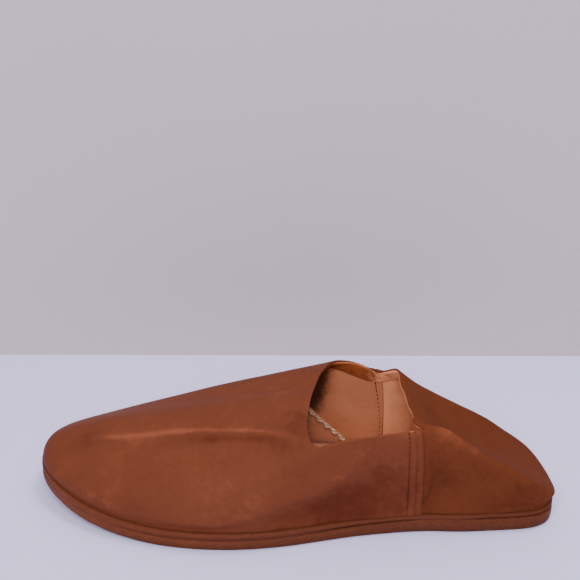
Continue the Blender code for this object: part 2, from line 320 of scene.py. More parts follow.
def smooth_path(points, count):
    """A curve through the points, count points long."""
    ends = np.vstack([2 * points[0] - points[1], points, 2 * points[-1] - points[-2]])
    places = np.linspace(0, len(points) - 1, count)
    start = np.minimum(places.astype(int), len(points) - 2)
    t = (places - start)[:, None]
    before, first, second, after = (ends[start + step] for step in range(4))
    return 0.5 * (2 * first + (second - before) * t + (2 * before - 5 * first + 4 * second - after) * t**2
                  + (3 * first - before - 3 * second + after) * t**3)


def view_plane(points, normals, view):
    """Where points lie in a view, and how much each faces it."""
    along = points[:, 1]
    if view == "top":
        return np.column_stack([along, points[:, 0]]), ramp(normals[:, 2], 0.05, 0.45)
    side = 1 if view == "outer" else -1
    return np.column_stack([along, points[:, 2]]), ramp(side * normals[:, 0], 0.0, 0.4)


def in_metres(view, points):
    """Points given in the last's shares, in metres in a view's plane."""
    second = BALL_WIDTH / 2 if view == "top" else INSTEP_HEIGHT
    return (np.array(points) - (0.5, 0.0)) * (LENGTH, second)


def path_distance(spots, path):
    """Signed distance of each spot from a path, positive to its left, and how far along it is."""
    start, step = path[:-1], np.diff(path, axis=0)
    length = np.linalg.norm(step, axis=1)
    offset = spots[:, None] - start[None]
    share = np.clip((offset * step).sum(2) / length**2, 0, 1)
    gap = offset - share[..., None] * step
    away = np.linalg.norm(gap, axis=2)
    nearest = away.argmin(axis=1)
    rows = np.arange(len(spots))
    turn = step[nearest, 0] * gap[rows, nearest, 1] - step[nearest, 1] * gap[rows, nearest, 0]
    return np.where(turn < 0, -1, 1) * away[rows, nearest], (nearest + share[rows, nearest]) / len(step)


def fold_marks(points, normals):
    """Height along its normal, and painted highlight or shade as lightness of the dye, that the creases give
    to each point.
    """
    marks = np.zeros((len(points), 2))
    for crease in CREASES:
        spots, weight = view_plane(points, normals, crease.view)
        path = smooth_path(in_metres(crease.view, crease.points), PATH_POINTS)
        reach = 3 * max(crease.over, crease.under)
        near = np.all((spots > path.min(0) - reach) & (spots < path.max(0) + reach), axis=1)
        near &= weight > 0
        distance, share = path_distance(spots[near], path)
        width = np.where(distance > 0, crease.over, crease.under)
        ends = ramp(share, 0.0, 0.25) * ramp(1 - share, 0.0, 0.25)
        shape = weight[near] * ends * np.exp(-(distance / width) ** 2)
        marks[near] += shape[:, None] * np.array([crease.lift, crease.dye])
    return marks


def ruffle(points, size, place=Vector()):
    """Soft noise of one size at each point, -1 to 1."""
    return np.array([noise.noise(Vector(point) / size + place) for point in points])


def crease_lift(points, normals):
    """Height of the folds and of the leather's slack at each point, along its normal."""
    flat, facing = points.reshape(-1, 3), normals.reshape(-1, 3)
    lift = fold_marks(flat, facing)[:, 0]
    for size, height in WAVES:
        lift += height * ruffle(flat, size, NOISE_PLACE)
    return lift.reshape(points.shape[:-1])


# ---------------------------------------------------------------- layers of leather
SEAM_ROWS = (0.0038, 0.0082)      # rows of seam stitches, ahead of the vamp's edge
ROW_DIP, ROW_REACH = 0.00022, 0.0008      # how the thread draws the leather in along a row
LAP_THIN = 0.6                    # share by which the vamp's edge is pared thin at the collar
FOOT_SPREAD = 0.0007              # the upper's foot turns out on to the welt by this much
FOOT_SPREAD_END = 0.10            # up to this rise
TAB = 0.0075                      # how far the quarter runs on under the vamp
TAB_SINK = 0.00035
LINING_LAP = 0.0045               # the vamp's lining ends this far ahead of the seam
TAB_SHOWS = 0.00022               # how far the quarter's tab lifts the vamp over it
# Distances ahead of the seam between which a level fades in or out.
LAP_STARTS, TAB_ENDS, TAB_SINKS = (0.0, 0.0015), (TAB - 0.0008, TAB + 0.0010), (-0.0012, 0.0004)
LINING_RISES, LINING_DIPS, LINING_DIP_ENDS = (TAB, TAB + 0.006), (-0.005, 0.0), (TAB, TAB + 0.005)


def ahead_of_seam(places):
    """Distance towards the toe from the nearer seam, in metres round the shoe."""
    places = np.mod(places, len(GUIDES))
    outer = (SEAM_OUTER - places) * GUIDE_SPACING
    inner = (places - SEAM_INNER) * GUIDE_SPACING
    return np.where(places > HEEL_BACK, inner, outer)


def skin(places, rises, level, closed=False):
    """Points and normals of a layer that lies level (metres, one for each place and rise) over
    the upper's form, creases included."""
    base = base_form(places, rises)
    normals = grid_normals(base, closed)
    spread = FOOT_SPREAD * (1 - ramp(np.broadcast_to(rises, base.shape[:2]), FEATHER, FOOT_SPREAD_END)) ** 2
    lift = crease_lift(base, normals) + level + spread
    return base + normals * lift[..., None], normals


def lap_share(rises):
    """Share of its thickness that the vamp's edge keeps, less at the collar."""
    return 1 - LAP_THIN * ramp(rises, LAP_FADE, 1.0)


def vamp_level(places, rises):
    """Outer face of the vamp: a step over the quarter, drawn in along the rows of stitches."""
    step = np.full((len(places), 1), LAP_STEP) * lap_share(rises)[None]
    ahead = ahead_of_seam(places)[:, None]
    over_tab = TAB_SHOWS * (1 - ramp(ahead, *TAB_ENDS)) * ramp(ahead, *LAP_STARTS)
    rows = sum(np.exp(-((ahead - row) / ROW_REACH) ** 2) for row in SEAM_ROWS)
    return step + over_tab - ROW_DIP * rows


def quarter_level(places, rises):
    """Outer face of the quarter, a little lower under the vamp."""
    ahead = ahead_of_seam(places)[:, None]
    return -TAB_SINK * ramp(ahead, *TAB_SINKS) * np.ones((1, len(rises)))


def lining_level(places, rises):
    """Outer face of the lining: under the vamp, dipping under the quarter's tab."""
    ahead = ahead_of_seam(places)[:, None]
    under_vamp = LAP_STEP * ramp(ahead, *LINING_RISES) * lap_share(rises)[None]
    tab = TAB_SINK * ramp(ahead, *LINING_DIPS) * (1 - ramp(ahead, *LINING_DIP_ENDS))
    return under_vamp - tab


def border_of(columns, rows):
    """Grid places of an open grid's border, in order round it."""
    return ([(column, 0) for column in range(columns)] + [(columns - 1, row) for row in range(1, rows)]
            + [(column, rows - 1) for column in range(columns - 2, -1, -1)]
            + [(0, row) for row in range(rows - 2, 0, -1)])


def shell(name, outside, inside, closed=False, rim_steps=4):
    """A solid sheet between two grids of points, with rounded borders. Returns the object and,
    for each of its vertices, the grid place it belongs to and whether it lies on the border."""
    columns, rows = outside.shape[:2]
    count = columns * rows
    points = [outside.reshape(-1, 3), inside.reshape(-1, 3)]
    index = np.arange(count).reshape(columns, rows)
    across = np.roll(index, -1, 0) if closed else index[1:]
    here = index if closed else index[:-1]
    quads = np.stack([here[:, :-1], across[:, :-1], across[:, 1:], here[:, 1:]], -1).reshape(-1, 4)
    faces = [quads, quads[:, ::-1] + count]
    owners = [index.reshape(-1), index.reshape(-1)]
    rims = [np.zeros(count), np.zeros(count)]
    if closed:
        loops = [[(column, 0) for column in range(columns)],
                 [(column, rows - 1) for column in range(columns - 1, -1, -1)]]
    else:
        loops = [border_of(columns, rows)]
    middle = (outside + inside) / 2
    total = 2 * count
    for loop in loops:
        place = np.array(loop)
        side = 0 if closed else 1
        inner = np.clip(place, [side, 1], [columns - 1 - side, rows - 2])
        centre = middle[place[:, 0], place[:, 1]]
        away = centre - middle[inner[:, 0], inner[:, 1]]
        across_sheet = (outside - inside)[place[:, 0], place[:, 1]] / 2
        half = np.linalg.norm(across_sheet, axis=1)[:, None]
        axis = across_sheet / half
        away -= axis * (away * axis).sum(1)[:, None]
        away /= np.maximum(np.linalg.norm(away, axis=1), 1e-9)[:, None]
        chain = [index[place[:, 0], place[:, 1]]]
        for step in range(1, rim_steps):
            turn = math.pi * step / rim_steps
            points.append(centre + axis * half * math.cos(turn) + away * half * math.sin(turn))
            owners.append(chain[0])
            rims.append(np.ones(len(loop)))
            chain.append(np.arange(total, total + len(loop)))
            total += len(loop)
        chain.append(chain[0] + count)
        for first, second in zip(chain[:-1], chain[1:]):
            ahead_first, ahead_second = np.roll(first, -1), np.roll(second, -1)
            faces.append(np.stack([ahead_first, first, second, ahead_second], -1))
    item = add_mesh(name, np.concatenate(points), np.concatenate(faces).tolist())
    return item, np.concatenate(owners), np.concatenate(rims)


def new_item(name, data):
    item = bpy.data.objects.new(name, data)
    bpy.context.scene.collection.objects.link(item)
    return item


def add_mesh(name, points, faces):
    """A smooth-shaded object from points, which are counted from the last's own origin."""
    mesh = bpy.data.meshes.new(name)
    mesh.from_pydata((points + SHIFT).tolist(), [], faces)
    mesh.shade_smooth()
    return new_item(name, mesh)


def paint(item, name, values):
    """Stores one number for each vertex under a name that the materials read."""
    attribute = item.data.attributes.new(name, 'FLOAT', 'POINT')
    attribute.data.foreach_set("value", np.asarray(values, np.float32))


# ---------------------------------------------------------------- flat layers of the sole
SOLE_COLUMNS = 480
SOLE_ACROSS, INSOLE_ACROSS = 8, 48        # faces from side to side of a layer
CUT_WAVER = 0.00012               # how far the knife strayed from the outline
WAVER_SIZE, WAVER_PLACE = 0.014, 0.3
INSOLE_SLACK = 0.00012            # unevenness of the insole's face
SLACK_SIZE, SLACK_PLACE = 0.022, 1.7
INSOLE_PLAY = 0.0001              # between the insole and the upper's wall
# From and to, in metres from the middle: where the sole comes away from the welt, and meets it.
TOE_SHUTS, WAIST_OPENS = (-0.127, -0.117), (0.002, 0.026)
WAIST_SHUTS, HEEL_OPENS = (0.044, 0.068), (0.078, 0.096)
SOLE_CORNER, CORNER_STEPS = 0.0012, 5     # rounding of the outsole's lower edge
# Edges from below: share of the thickness, inset, inset where the sole stands open from the welt.
OUTSOLE_WALL = [(0.34, -0.00008, -0.00008), (0.51, -0.00012, -0.00012), (0.69, -0.00008, -0.00008),
                (0.81, 0.0, 0.0), (0.89, 0.0, 0.0001), (0.95, 0.00004, 0.0006), (0.99, 0.0001, 0.0016),
                (1.035, 0.0002, 0.0028)]
WELT_WALL = [(0.0, 0.0002, 0.0022), (0.10, 0.00008, 0.0012), (0.25, 0.0, 0.0004), (0.42, 0.0, 0.0),
             (0.62, 0.00004, 0.00004), (0.76, 0.00016, 0.00016), (0.87, 0.0004, 0.0004),
             (0.94, 0.00068, 0.00068), (0.98, 0.00095, 0.00095), (1.0, 0.0013, 0.0013)]
INSOLE_WALL = [(0.0002, 0.0), (0.0, 0.0003), (0.0, 0.0013), (0.0002, 0.0017), (0.0006, 0.0019),
               (0.0012, 0.0020)]          # inset, height
# Where the foot has pressed into the insole: depth, x, share of the length, reach of each.
FOOT_PRESSES = [(0.0005, 0.0, 0.86, 0.021, 0.085), (0.0004, -0.004, 0.33, 0.030, 0.10),
                (0.0003, -0.012, 0.135, 0.011, 0.035)]


def flat_noise(x, y, place, size):
    return ruffle(np.column_stack([x, y, np.full(len(x), place)]), size)


def sole_outline(inset, ledge=1.0):
    """Points round the sole: so much of the ledge beyond the feather line, less the inset."""
    places = round_places(SOLE_COLUMNS)
    line, outward = foot_line(places, ledge * ledge_at(places) - inset)
    waver = flat_noise(line[:, 0], line[:, 1], WAVER_PLACE, WAVER_SIZE)
    return line + outward * waver[:, None] * CUT_WAVER


def gap_share(y):
    """1 where the sole stands open from the welt: at the toe tip, the waist and the heel."""
    waist = ramp(y, *WAIST_OPENS) * (1 - ramp(y, *WAIST_SHUTS))
    return np.clip(0.5 * (1 - ramp(y, *TOE_SHUTS)) + waist + 0.8 * ramp(y, *HEEL_OPENS), 0, 1)


def plate(name, rings, across, crown=None):
    """A closed flat piece: rings of points from below upwards, capped across below and above.
    crown: height added to the top face at x, y."""
    columns = len(rings[0])
    half = columns // 2
    index = np.arange(len(rings) * columns).reshape(len(rings), columns)
    ahead = np.roll(index, -1, 1)
    faces = [np.stack([index[:-1], ahead[:-1], ahead[1:], index[1:]], -1).reshape(-1, 4)]
    points = [np.concatenate(rings)]
    total = index.size
    triangles = []
    for ring, marks, top in ((rings[0], index[0], False), (rings[-1], index[-1], True)):
        lines = []
        for column in range(1, half):
            share = np.linspace(0, 1, across + 1)[1:-1, None]
            inside = ring[column] * (1 - share) + ring[columns - column] * share
            if top and crown:
                inside[:, 2] += crown(inside[:, 0], inside[:, 1])
            points.append(inside)
            lines.append([marks[column], *range(total, total + len(inside)), marks[columns - column]])
            total += len(inside)
        lines = np.array(lines)
        quads = np.stack([lines[:-1, :-1], lines[1:, :-1], lines[1:, 1:], lines[:-1, 1:]], -1).reshape(-1, 4)
        ends = [(marks[0], a, b) for a, b in zip(lines[0, :-1], lines[0, 1:])]
        ends += [(a, marks[half], b) for a, b in zip(lines[-1, :-1], lines[-1, 1:])]
        faces.append(quads if top else quads[:, ::-1])
        triangles += [face if top else face[::-1] for face in ends]
    every = np.concatenate(faces).tolist() + [[int(corner) for corner in face] for face in triangles]
    return add_mesh(name, np.concatenate(points), every)


def layer(name, wall, lift, thick):
    """A layer of the sole from the rows of its edge."""
    line, _ = foot_line(round_places(SOLE_COLUMNS))
    gap = gap_share(line[:, 1])
    rings = []
    for share, inset, open_inset in wall:
        edge = sole_outline(inset + (open_inset - inset) * gap)
        rings.append(np.column_stack([edge, lift(edge[:, 1]) + share * thick(edge[:, 1])]))
    return plate(name, rings, SOLE_ACROSS)


def make_outsole():
    corner = []
    for turn in np.linspace(0, math.pi / 2, CORNER_STEPS):
        inset = SOLE_CORNER * (1 - math.sin(turn))
        corner.append((SOLE_CORNER * (1 - math.cos(turn)) / OUTSOLE_FORE, inset, inset))
    return layer("outsole_leather", corner + OUTSOLE_WALL, sole_lift, outsole_thick)


def make_welt():
    return layer("welt", WELT_WALL, midsole_base, midsole_thick)


def insole_crown(x, y):
    """The insole's face, pressed down by the foot and a little uneven."""
    along = y / LENGTH + 0.5
    pressed = sum(depth * np.exp(-(((x - middle) / wide) ** 2 + ((along - share) / long) ** 2))
                  for depth, middle, share, wide, long in FOOT_PRESSES)
    return INSOLE_SLACK * flat_noise(x, y, SLACK_PLACE, SLACK_SIZE) - pressed


def make_insole():
    rings = []
    for inset, height in INSOLE_WALL:
        edge = sole_outline(WALL + GAP + INSOLE_PLAY + inset, ledge=0.0)
        rings.append(np.column_stack([edge, midsole_top(edge[:, 1]) + GAP + height]))
    return plate("insole_sock", rings, INSOLE_ACROSS, insole_crown)


# ---------------------------------------------------------------- the upper's pieces
LEATHER = 0.0010                  # thickness of the upper leather
BOND = 0.00005                    # glue between it and the lining
LINING = 0.00085
LINING_TOP = 0.995                # rise at which the linings end under the collar
LINING_FORK, FORK_REACH = 0.0003, 0.004   # how far the vamp's lining sinks where the quarter's begins
LINING_MARGIN = 0.006             # the quarter's lining runs on this far under the vamp's
FRONT_LINING = 0.0006             # thickness of the toe's own lining
FRONT_LINE_Y = 0.0296             # its back edge meets the insole here, and leans forward as it climbs
FRONT_LINE_LEAN = 1.07            # metres forward for each metre up
FRONT_FOOT = FEATHER + 0.02       # rise of its foot
FRONT_TRIALS, FRONT_TRIAL_TOP, FRONT_TRIAL_PLACES = 140, 0.97, 300
FACING, FACING_THICK = 0.0065, 0.0004     # width and thickness of the band inside the collar
FACING_DOWN = 0.0004              # its top edge lies this far below the collar's
VAMP_COLUMNS, VAMP_ROWS = 400, 88
QUARTER_COLUMNS, QUARTER_ROWS = 260, 80
LINING_COLUMNS, QUARTER_LINING_COLUMNS, LINING_ROWS = 220, 180, 56
FACING_COLUMNS, FACING_ROWS = 520, 10
FRONT_COLUMNS, FRONT_ROWS = 160, 40
INNER_ROUND = len(GUIDES)
# Patches in each view: along, across or height, reach in metres, amount.
TONE_SHADE_HIGHLIGHT_PATCHES = {                         # dark below 0, light above: painted shade under the ridges, by the throat and in the hollows, painted highlights on the crest and peak, and some uneven dye
    "top": [(0.20, 0.25, 0.016, 0.10), (0.36, 0.10, 0.022, 0.10), (0.42, -0.35, 0.020, -0.10),
            (0.095, -0.02, 0.006, -0.10), (0.075, 0.07, 0.007, -0.10), (0.503, 0.55, 0.010, -0.50),
            (0.505, 0.42, 0.006, -0.25), (0.82, -0.10, 0.026, -0.12)],
    "outer": [(0.58, 0.26, 0.018, -0.25), (0.66, 0.42, 0.024, -0.10), (0.48, 0.20, 0.012, -0.15),
              (0.60, 0.80, 0.014, 0.15), (0.70, 0.88, 0.005, 0.20), (0.84, 0.50, 0.014, -0.30),
              (0.905, 0.42, 0.010, -0.25), (0.94, 0.25, 0.014, -0.20), (0.69, 0.24, 0.016, -0.22),
              (0.61, 0.16, 0.014, -0.22), (0.53, 0.14, 0.012, -0.25), (0.765, 0.91, 0.006, 0.15)],
    "inner": [(0.56, 0.35, 0.016, -0.20)],
}
SCUFFS = {                        # rubbed lighter
    "top": [(0.362, -0.37, 0.0035, 0.7), (0.395, -0.44, 0.0035, 1.0), (0.421, -0.42, 0.003, 0.9),
            (0.451, -0.28, 0.004, 0.9), (0.476, -0.38, 0.004, 0.7), (0.49, -0.05, 0.004, 0.5),
            (0.36, 0.60, 0.007, 0.4), (0.765, 0.56, 0.006, 0.6)],
    "outer": [(0.117, 0.31, 0.0022, 1.0), (0.128, 0.31, 0.0022, 1.0), (0.139, 0.30, 0.002, 0.9),
              (0.155, 0.30, 0.002, 0.8), (0.172, 0.29, 0.002, 0.8), (0.563, 0.58, 0.003, 0.8),
              (0.583, 0.57, 0.003, 0.8), (0.634, 0.75, 0.004, 0.6), (0.682, 0.65, 0.0035, 0.6),
              (0.328, 0.56, 0.006, 0.5), (0.41, 0.42, 0.005, 0.5), (0.30, 0.28, 0.005, 0.5),
              (0.37, 0.27, 0.005, 0.5), (0.955, 0.24, 0.004, 0.9), (0.62, 0.72, 0.006, 0.5)],
    "inner": [(0.30, 0.40, 0.008, 0.5), (0.12, 0.35, 0.006, 0.5)],
}
PATCH_STRETCH = 1.6               # patches are this much longer than high
LINING_PAINTED_SHADE = -0.95                     # painted shade on the vamp's lining in the toe, under the throat's edge
PAINTED_SHADE_LINE_Y = 0.0028             # where that painted shade ends at the floor
PAINTED_SHADE_LINE_LEAN = 0.28            # metres further back for each metre up
PAINTED_SHADE_FADE = (-0.004, 0.0065)     # metres ahead of and behind that line
TOE_LINING_PAINTED_SHADE, TOE_LINING_PAINTED_SHADE_END = -0.8, (0.005, 0.013)     # painted shade on the toe's lining, and the y where it ends
RIM_SHADE = -0.8                  # painted shade on the vamp lining's top edge by the toe side of the throat
RIM_SHADE_PLACES, RIM_SHADE_RISES = (19.6, 20.4), (0.965, 0.985)
# painted shade along the rows of seam stitches, where the thread draws the leather in: tone and reach
SEAM_ROW_PAINTED_SHADE, SEAM_ROW_PAINTED_SHADE_REACH = -0.35, 0.0007
# Tones of the facing: painted shade in front, paler at the back, and darker on the outer side as far as the
# seam.
FACING_PAINTED_SHADE, FACING_PAINTED_SHADE_END = -0.9, (0.014, 0.034)
FACING_LIGHT, FACING_LIGHT_START = 0.9, (0.036, 0.046)
FACING_OUTER, FACING_OUTER_X, FACING_OUTER_END = -0.6, (0.004, 0.018), (0.046, 0.054)


def even_rises(rows, end=1.0):
    return np.concatenate([[FEATHER], np.linspace(0, end, rows)])


def patches(points, normals, views):
    """Amount of the soft patches at each point of a grid."""
    flat, facing = points.reshape(-1, 3), normals.reshape(-1, 3)
    amounts = np.zeros(len(flat))
    for view, spots in views.items():
        where, weight = view_plane(flat, facing, view)
        for *centre, reach, amount in spots:
            away = np.linalg.norm((where - in_metres(view, centre)) / (PATCH_STRETCH, 1.0), axis=1)
            amounts += amount * weight * np.exp(-(away / reach) ** 2)
    return amounts.reshape(points.shape[:-1])


def hang(item, material=None, node=None):
    """Puts a piece on the shoe, in place of a node if one is named."""
    if material:
        item.data.materials.append(material)
    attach(item, "root")
    if node:
        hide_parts(node)


def sheet(name, outside, inside, tone, worn=0.0, closed=False):
    """A sheet between two grids of points, painted with its tone (dye, painted shade and painted highlights),
    its wear and its cut edge.
    """
    item, owner, rim = shell(name, outside, inside, closed)
    for label, values in (("tone", tone), ("worn", worn)):
        paint(item, label, np.broadcast_to(values, outside.shape[:2]).reshape(-1)[owner])
    paint(item, "cut_edge", rim)
    return item


def upper_piece(name, places, rises, level, tone=0.0):
    """Upper leather over the form, level metres above it, with its folds, patches and scuffs, and painted
    shade and highlights along the folds and in the patches.
    """
    outside, normals = skin(places, rises, level)
    # painted highlights on the creases' ridges and painted shade in their troughs
    folds = fold_marks(outside.reshape(-1, 3), normals.reshape(-1, 3))[:, 1].reshape(outside.shape[:2])
    return sheet(name, outside, outside - normals * LEATHER, patches(outside, normals, TONE_SHADE_HIGHLIGHT_PATCHES) + folds + tone,
                 patches(outside, normals, SCUFFS))


def lining_piece(name, places, rises, sunk, thickness, tone=0.0):
    """Lining under the form, with painted shade in the toe, under the throat's edge."""
    outside, normals = skin(places, rises, lining_level(places, rises) - LEATHER - BOND - sunk)
    # painted shade: darker ahead of a line that leans back as it climbs
    behind = outside[..., 1] - PAINTED_SHADE_LINE_Y - PAINTED_SHADE_LINE_LEAN * outside[..., 2]
    painted_shade = LINING_PAINTED_SHADE * (1 - ramp(behind, *PAINTED_SHADE_FADE))
    return sheet(name, outside, outside - normals * thickness, tone + painted_shade)


def make_vamp():
    places = np.linspace(SEAM_INNER, INNER_ROUND + SEAM_OUTER, VAMP_COLUMNS)
    rises = even_rises(VAMP_ROWS)
    ahead = ahead_of_seam(places)[:, None]
    # painted shade along the stitch rows
    rows = sum(np.exp(-((ahead - row) / SEAM_ROW_PAINTED_SHADE_REACH) ** 2) for row in SEAM_ROWS)
    return upper_piece("vamp", places, rises, vamp_level(places, rises), SEAM_ROW_PAINTED_SHADE * rows)


def make_quarter():
    tab = TAB / GUIDE_SPACING
    places = np.linspace(SEAM_OUTER - tab, SEAM_INNER + tab, QUARTER_COLUMNS)
    rises = even_rises(QUARTER_ROWS)
    return upper_piece("quarter", places, rises, quarter_level(places, rises))


def make_vamp_lining():
    lap = LINING_LAP / GUIDE_SPACING
    places = np.linspace(SEAM_INNER + lap, INNER_ROUND + SEAM_OUTER - lap, LINING_COLUMNS)
    rises = even_rises(LINING_ROWS, LINING_TOP)
    fork = ramp(ahead_of_seam(places)[:, None], LINING_LAP + FORK_REACH, LINING_LAP)
    # painted shade along the lining's top edge
    shade = RIM_SHADE * ramp(places, *RIM_SHADE_PLACES)[:, None] * ramp(rises, *RIM_SHADE_RISES)[None]
    return lining_piece("vamp_lining", places, rises, LINING_FORK * fork, LINING, shade)


def make_quarter_lining():
    margin = (LINING_LAP + LINING_MARGIN) / GUIDE_SPACING
    places = np.linspace(SEAM_OUTER - margin, SEAM_INNER + margin, QUARTER_LINING_COLUMNS)
    rises = even_rises(LINING_ROWS, LINING_TOP)
    return lining_piece("quarter_lining", places, rises, 0.0, LINING - LINING_FORK)


def lining_face(places, rises, depth, closed=False):
    """Points and normals depth metres in from the lining's outer face."""
    level = lining_level(places, rises if np.ndim(rises) == 1 else rises.mean(0)) - LEATHER - BOND
    return skin(places, rises, level - depth, closed)


def collar_rises(places):
    """Rises from the facing's lower edge up to the collar, a row for each place."""
    rises = []
    for line, mark in zip(*profile_lines(places)):
        length = np.append(0, np.cumsum(np.linalg.norm(np.diff(line, axis=0), axis=1)))
        wanted = np.linspace(length[-1] - FACING, length[-1] - FACING_DOWN, FACING_ROWS)
        rises.append(np.interp(wanted, length, mark))
    return np.array(rises)


def make_facing():
    places = round_places(FACING_COLUMNS)
    outside, normals = lining_face(places, collar_rises(places), LINING + BOND, closed=True)
    across, along = outside[..., 0], outside[..., 1]
    outer = ramp(across, *FACING_OUTER_X) * (1 - ramp(along, *FACING_OUTER_END))
    # painted shade on the facing's front part, by the throat
    tone = FACING_LIGHT * ramp(along, *FACING_LIGHT_START) + FACING_PAINTED_SHADE * (1 - ramp(along, *FACING_PAINTED_SHADE_END))
    return sheet("facing", outside, outside - normals * FACING_THICK,
                 tone * (1 - outer) + FACING_OUTER * outer, closed=True)


def front_limit(places):
    """The rise at which each profile crosses the back edge of the toe's lining."""
    trial = np.linspace(FEATHER, FRONT_TRIAL_TOP, FRONT_TRIALS)
    points, _ = lining_face(places, trial, LINING)
    floor = midsole_top(FRONT_LINE_Y) + GAP + INSOLE_THICK
    beyond = (points[..., 1] - FRONT_LINE_Y) + FRONT_LINE_LEAN * (points[..., 2] - floor)
    limit = np.empty(len(places))
    for index, row in enumerate(beyond):
        crossing = np.argmax(row > 0) if np.any(row > 0) else len(row) - 1
        limit[index] = trial[max(crossing, 1)]
        if 0 < crossing < len(row):
            share = -row[crossing - 1] / (row[crossing] - row[crossing - 1])
            limit[index] = trial[crossing - 1] + share * (trial[crossing] - trial[crossing - 1])
    return limit


def front_places():
    """Places round the toe between the two ends of the toe's lining."""
    fine = np.linspace(SEAM_INNER + 0.3, INNER_ROUND + SEAM_OUTER - 0.3, FRONT_TRIAL_PLACES)
    line, _ = foot_line(fine)
    inside = fine[line[:, 1] < FRONT_LINE_Y - 0.0025]
    return np.linspace(inside[0], inside[-1], FRONT_COLUMNS)


def make_toe_lining():
    places = front_places()
    rises = FRONT_FOOT + (front_limit(places)[:, None] - FRONT_FOOT) * np.linspace(0, 1, FRONT_ROWS)[None]
    outside, normals = lining_face(places, rises, LINING + BOND)
    # painted shade on the toe's lining towards the toe
    return sheet("toe_lining", outside, outside - normals * FRONT_LINING,
                 TOE_LINING_PAINTED_SHADE * (1 - ramp(outside[..., 1], *TOE_LINING_PAINTED_SHADE_END)))


# ---------------------------------------------------------------- stitches
LINING_ROW = 0.0066               # how far ahead of the seam the row inside runs
LINING_ROW_LEAN = 0.0060          # the row inside leans this far forward up at the collar
ROW_POINTS = 120
WELT_SEWN = 4.6                   # guides from the toe to where the welt's stitches stop, on both sides
WELT_ROW, WELT_ROW_POINTS = 0.0016, 400   # the welt's row runs this far out from the feather line
WELT_ROW_LIFT, SEAM_ROW_LIFT = 0.00002, -0.00003
WELT_RISE, SEAM_RISE, LINING_RISE = 0.0003, 0.00032, 0.0005       # how high their stitches stand
SEAM_SEWN, LINING_SEWN = (0.01, 0.965), (0.03, 0.76)      # rises between which the seams are sewn
FINE_THREAD = 0.8                 # thickness of the thread outside, of that inside
STITCH_LENGTH, STITCH_SINK = 0.0015, 0.0003
STITCH_SIDES = 6
HAND_SEWN = 2.4                   # guides from each seam over which the toe lining's hand stitches run
HAND_ARCH = 0.00120               # how high a hand stitch stands over the leather
HAND_SINK = 0.00035               # how deep its ends go in
HAND_PLY = 0.00050                # how far each of its two plies lies from its middle
HAND_RADIUS = 0.00088             # half the thickness of a ply
HAND_SHARE = 0.80                 # of the pitch that a stitch takes up
HAND_START = 0.0006
HAND_ROW_IN = 0.02                # the row runs this rise below the toe lining's edge
HAND_TWIST, HAND_TURN = 1.4 * math.pi, 0.4
HAND_STEPS, HAND_SIDES = 26, 8


def unit(vectors):
    return vectors / np.linalg.norm(vectors, axis=1)[:, None]


def skin_path(places, rises, level):
    """Points and normals along a path on the upper's form, level metres over it."""
    def at(place, rise):
        return base_form(place, rise[:, None])[:, 0]
    spot = at(places, rises)
    around = at(places + 0.02, rises) - at(places - 0.02, rises)
    normals = unit(np.cross(around, at(places, rises + 0.01) - at(places, rises - 0.01)))
    return spot + normals * (crease_lift(spot, normals) + level)[:, None], normals


def stitch_tree():
    """Geometry nodes that lay a row of short thread arcs along a line of points."""
    tree = bpy.data.node_groups.new("thread stitches", 'GeometryNodeTree')
    face = tree.interface
    face.new_socket("Geometry", in_out='INPUT', socket_type='NodeSocketGeometry')
    add_sockets(tree, 'INPUT', {"Pitch": 0.0026, "Length": 0.002, "Thread": 0.0003, "Rise": 0.0004,
                                "Sink": 0.0003}, 'DISTANCE')
    face.new_socket("Material", in_out='INPUT', socket_type='NodeSocketMaterial')
    face.new_socket("Geometry", in_out='OUTPUT', socket_type='NodeSocketGeometry')
    given = put(tree, "NodeGroupInput")
    line = put(tree, "GeometryNodeMeshToCurve", {"Mesh": given["Geometry"]})
    spaced = put(tree, "GeometryNodeResampleCurve", {"Curve": line["Curve"], "Length": given["Pitch"]},
                 mode='LENGTH')
    half = times(tree, given["Length"], 0.5)
    down = times(tree, given["Sink"], -1.0)
    begin = put(tree, "ShaderNodeCombineXYZ", {"X": times(tree, half, -1.0), "Z": down})
    top = put(tree, "ShaderNodeCombineXYZ", {"Z": given["Rise"]})
    end = put(tree, "ShaderNodeCombineXYZ", {"X": half, "Z": down})
    arc = put(tree, "GeometryNodeCurveQuadraticBezier",
              {"Resolution": STITCH_SIDES, "Start": begin[0], "Middle": top[0], "End": end[0]})
    ring = put(tree, "GeometryNodeCurvePrimitiveCircle",
               {"Resolution": STITCH_SIDES, "Radius": given["Thread"]})
    stitch = put(tree, "GeometryNodeCurveToMesh",
                 {"Curve": arc["Curve"], "Profile Curve": ring["Curve"], "Fill Caps": True})
    smooth = put(tree, "GeometryNodeSetShadeSmooth", {"Geometry": stitch["Mesh"], "Shade Smooth": True})
    facing = put(tree, "GeometryNodeInputNamedAttribute", {"Name": "facing"}, data_type='FLOAT_VECTOR')
    turn = put(tree, "FunctionNodeAxesToRotation",
               {"Primary Axis": facing["Attribute"],
                "Secondary Axis": put(tree, "GeometryNodeInputTangent")["Tangent"]},
               primary_axis='Z', secondary_axis='X')
    laid = put(tree, "GeometryNodeInstanceOnPoints",
               {"Points": spaced["Curve"], "Instance": smooth["Geometry"], "Rotation": turn["Rotation"]})
    real = put(tree, "GeometryNodeRealizeInstances", {"Geometry": laid["Instances"]})
    dressed = put(tree, "GeometryNodeSetMaterial",
                  {"Geometry": real["Geometry"], "Material": given["Material"]})
    put(tree, "NodeGroupOutput", {"Geometry": dressed["Geometry"]})
    return tree


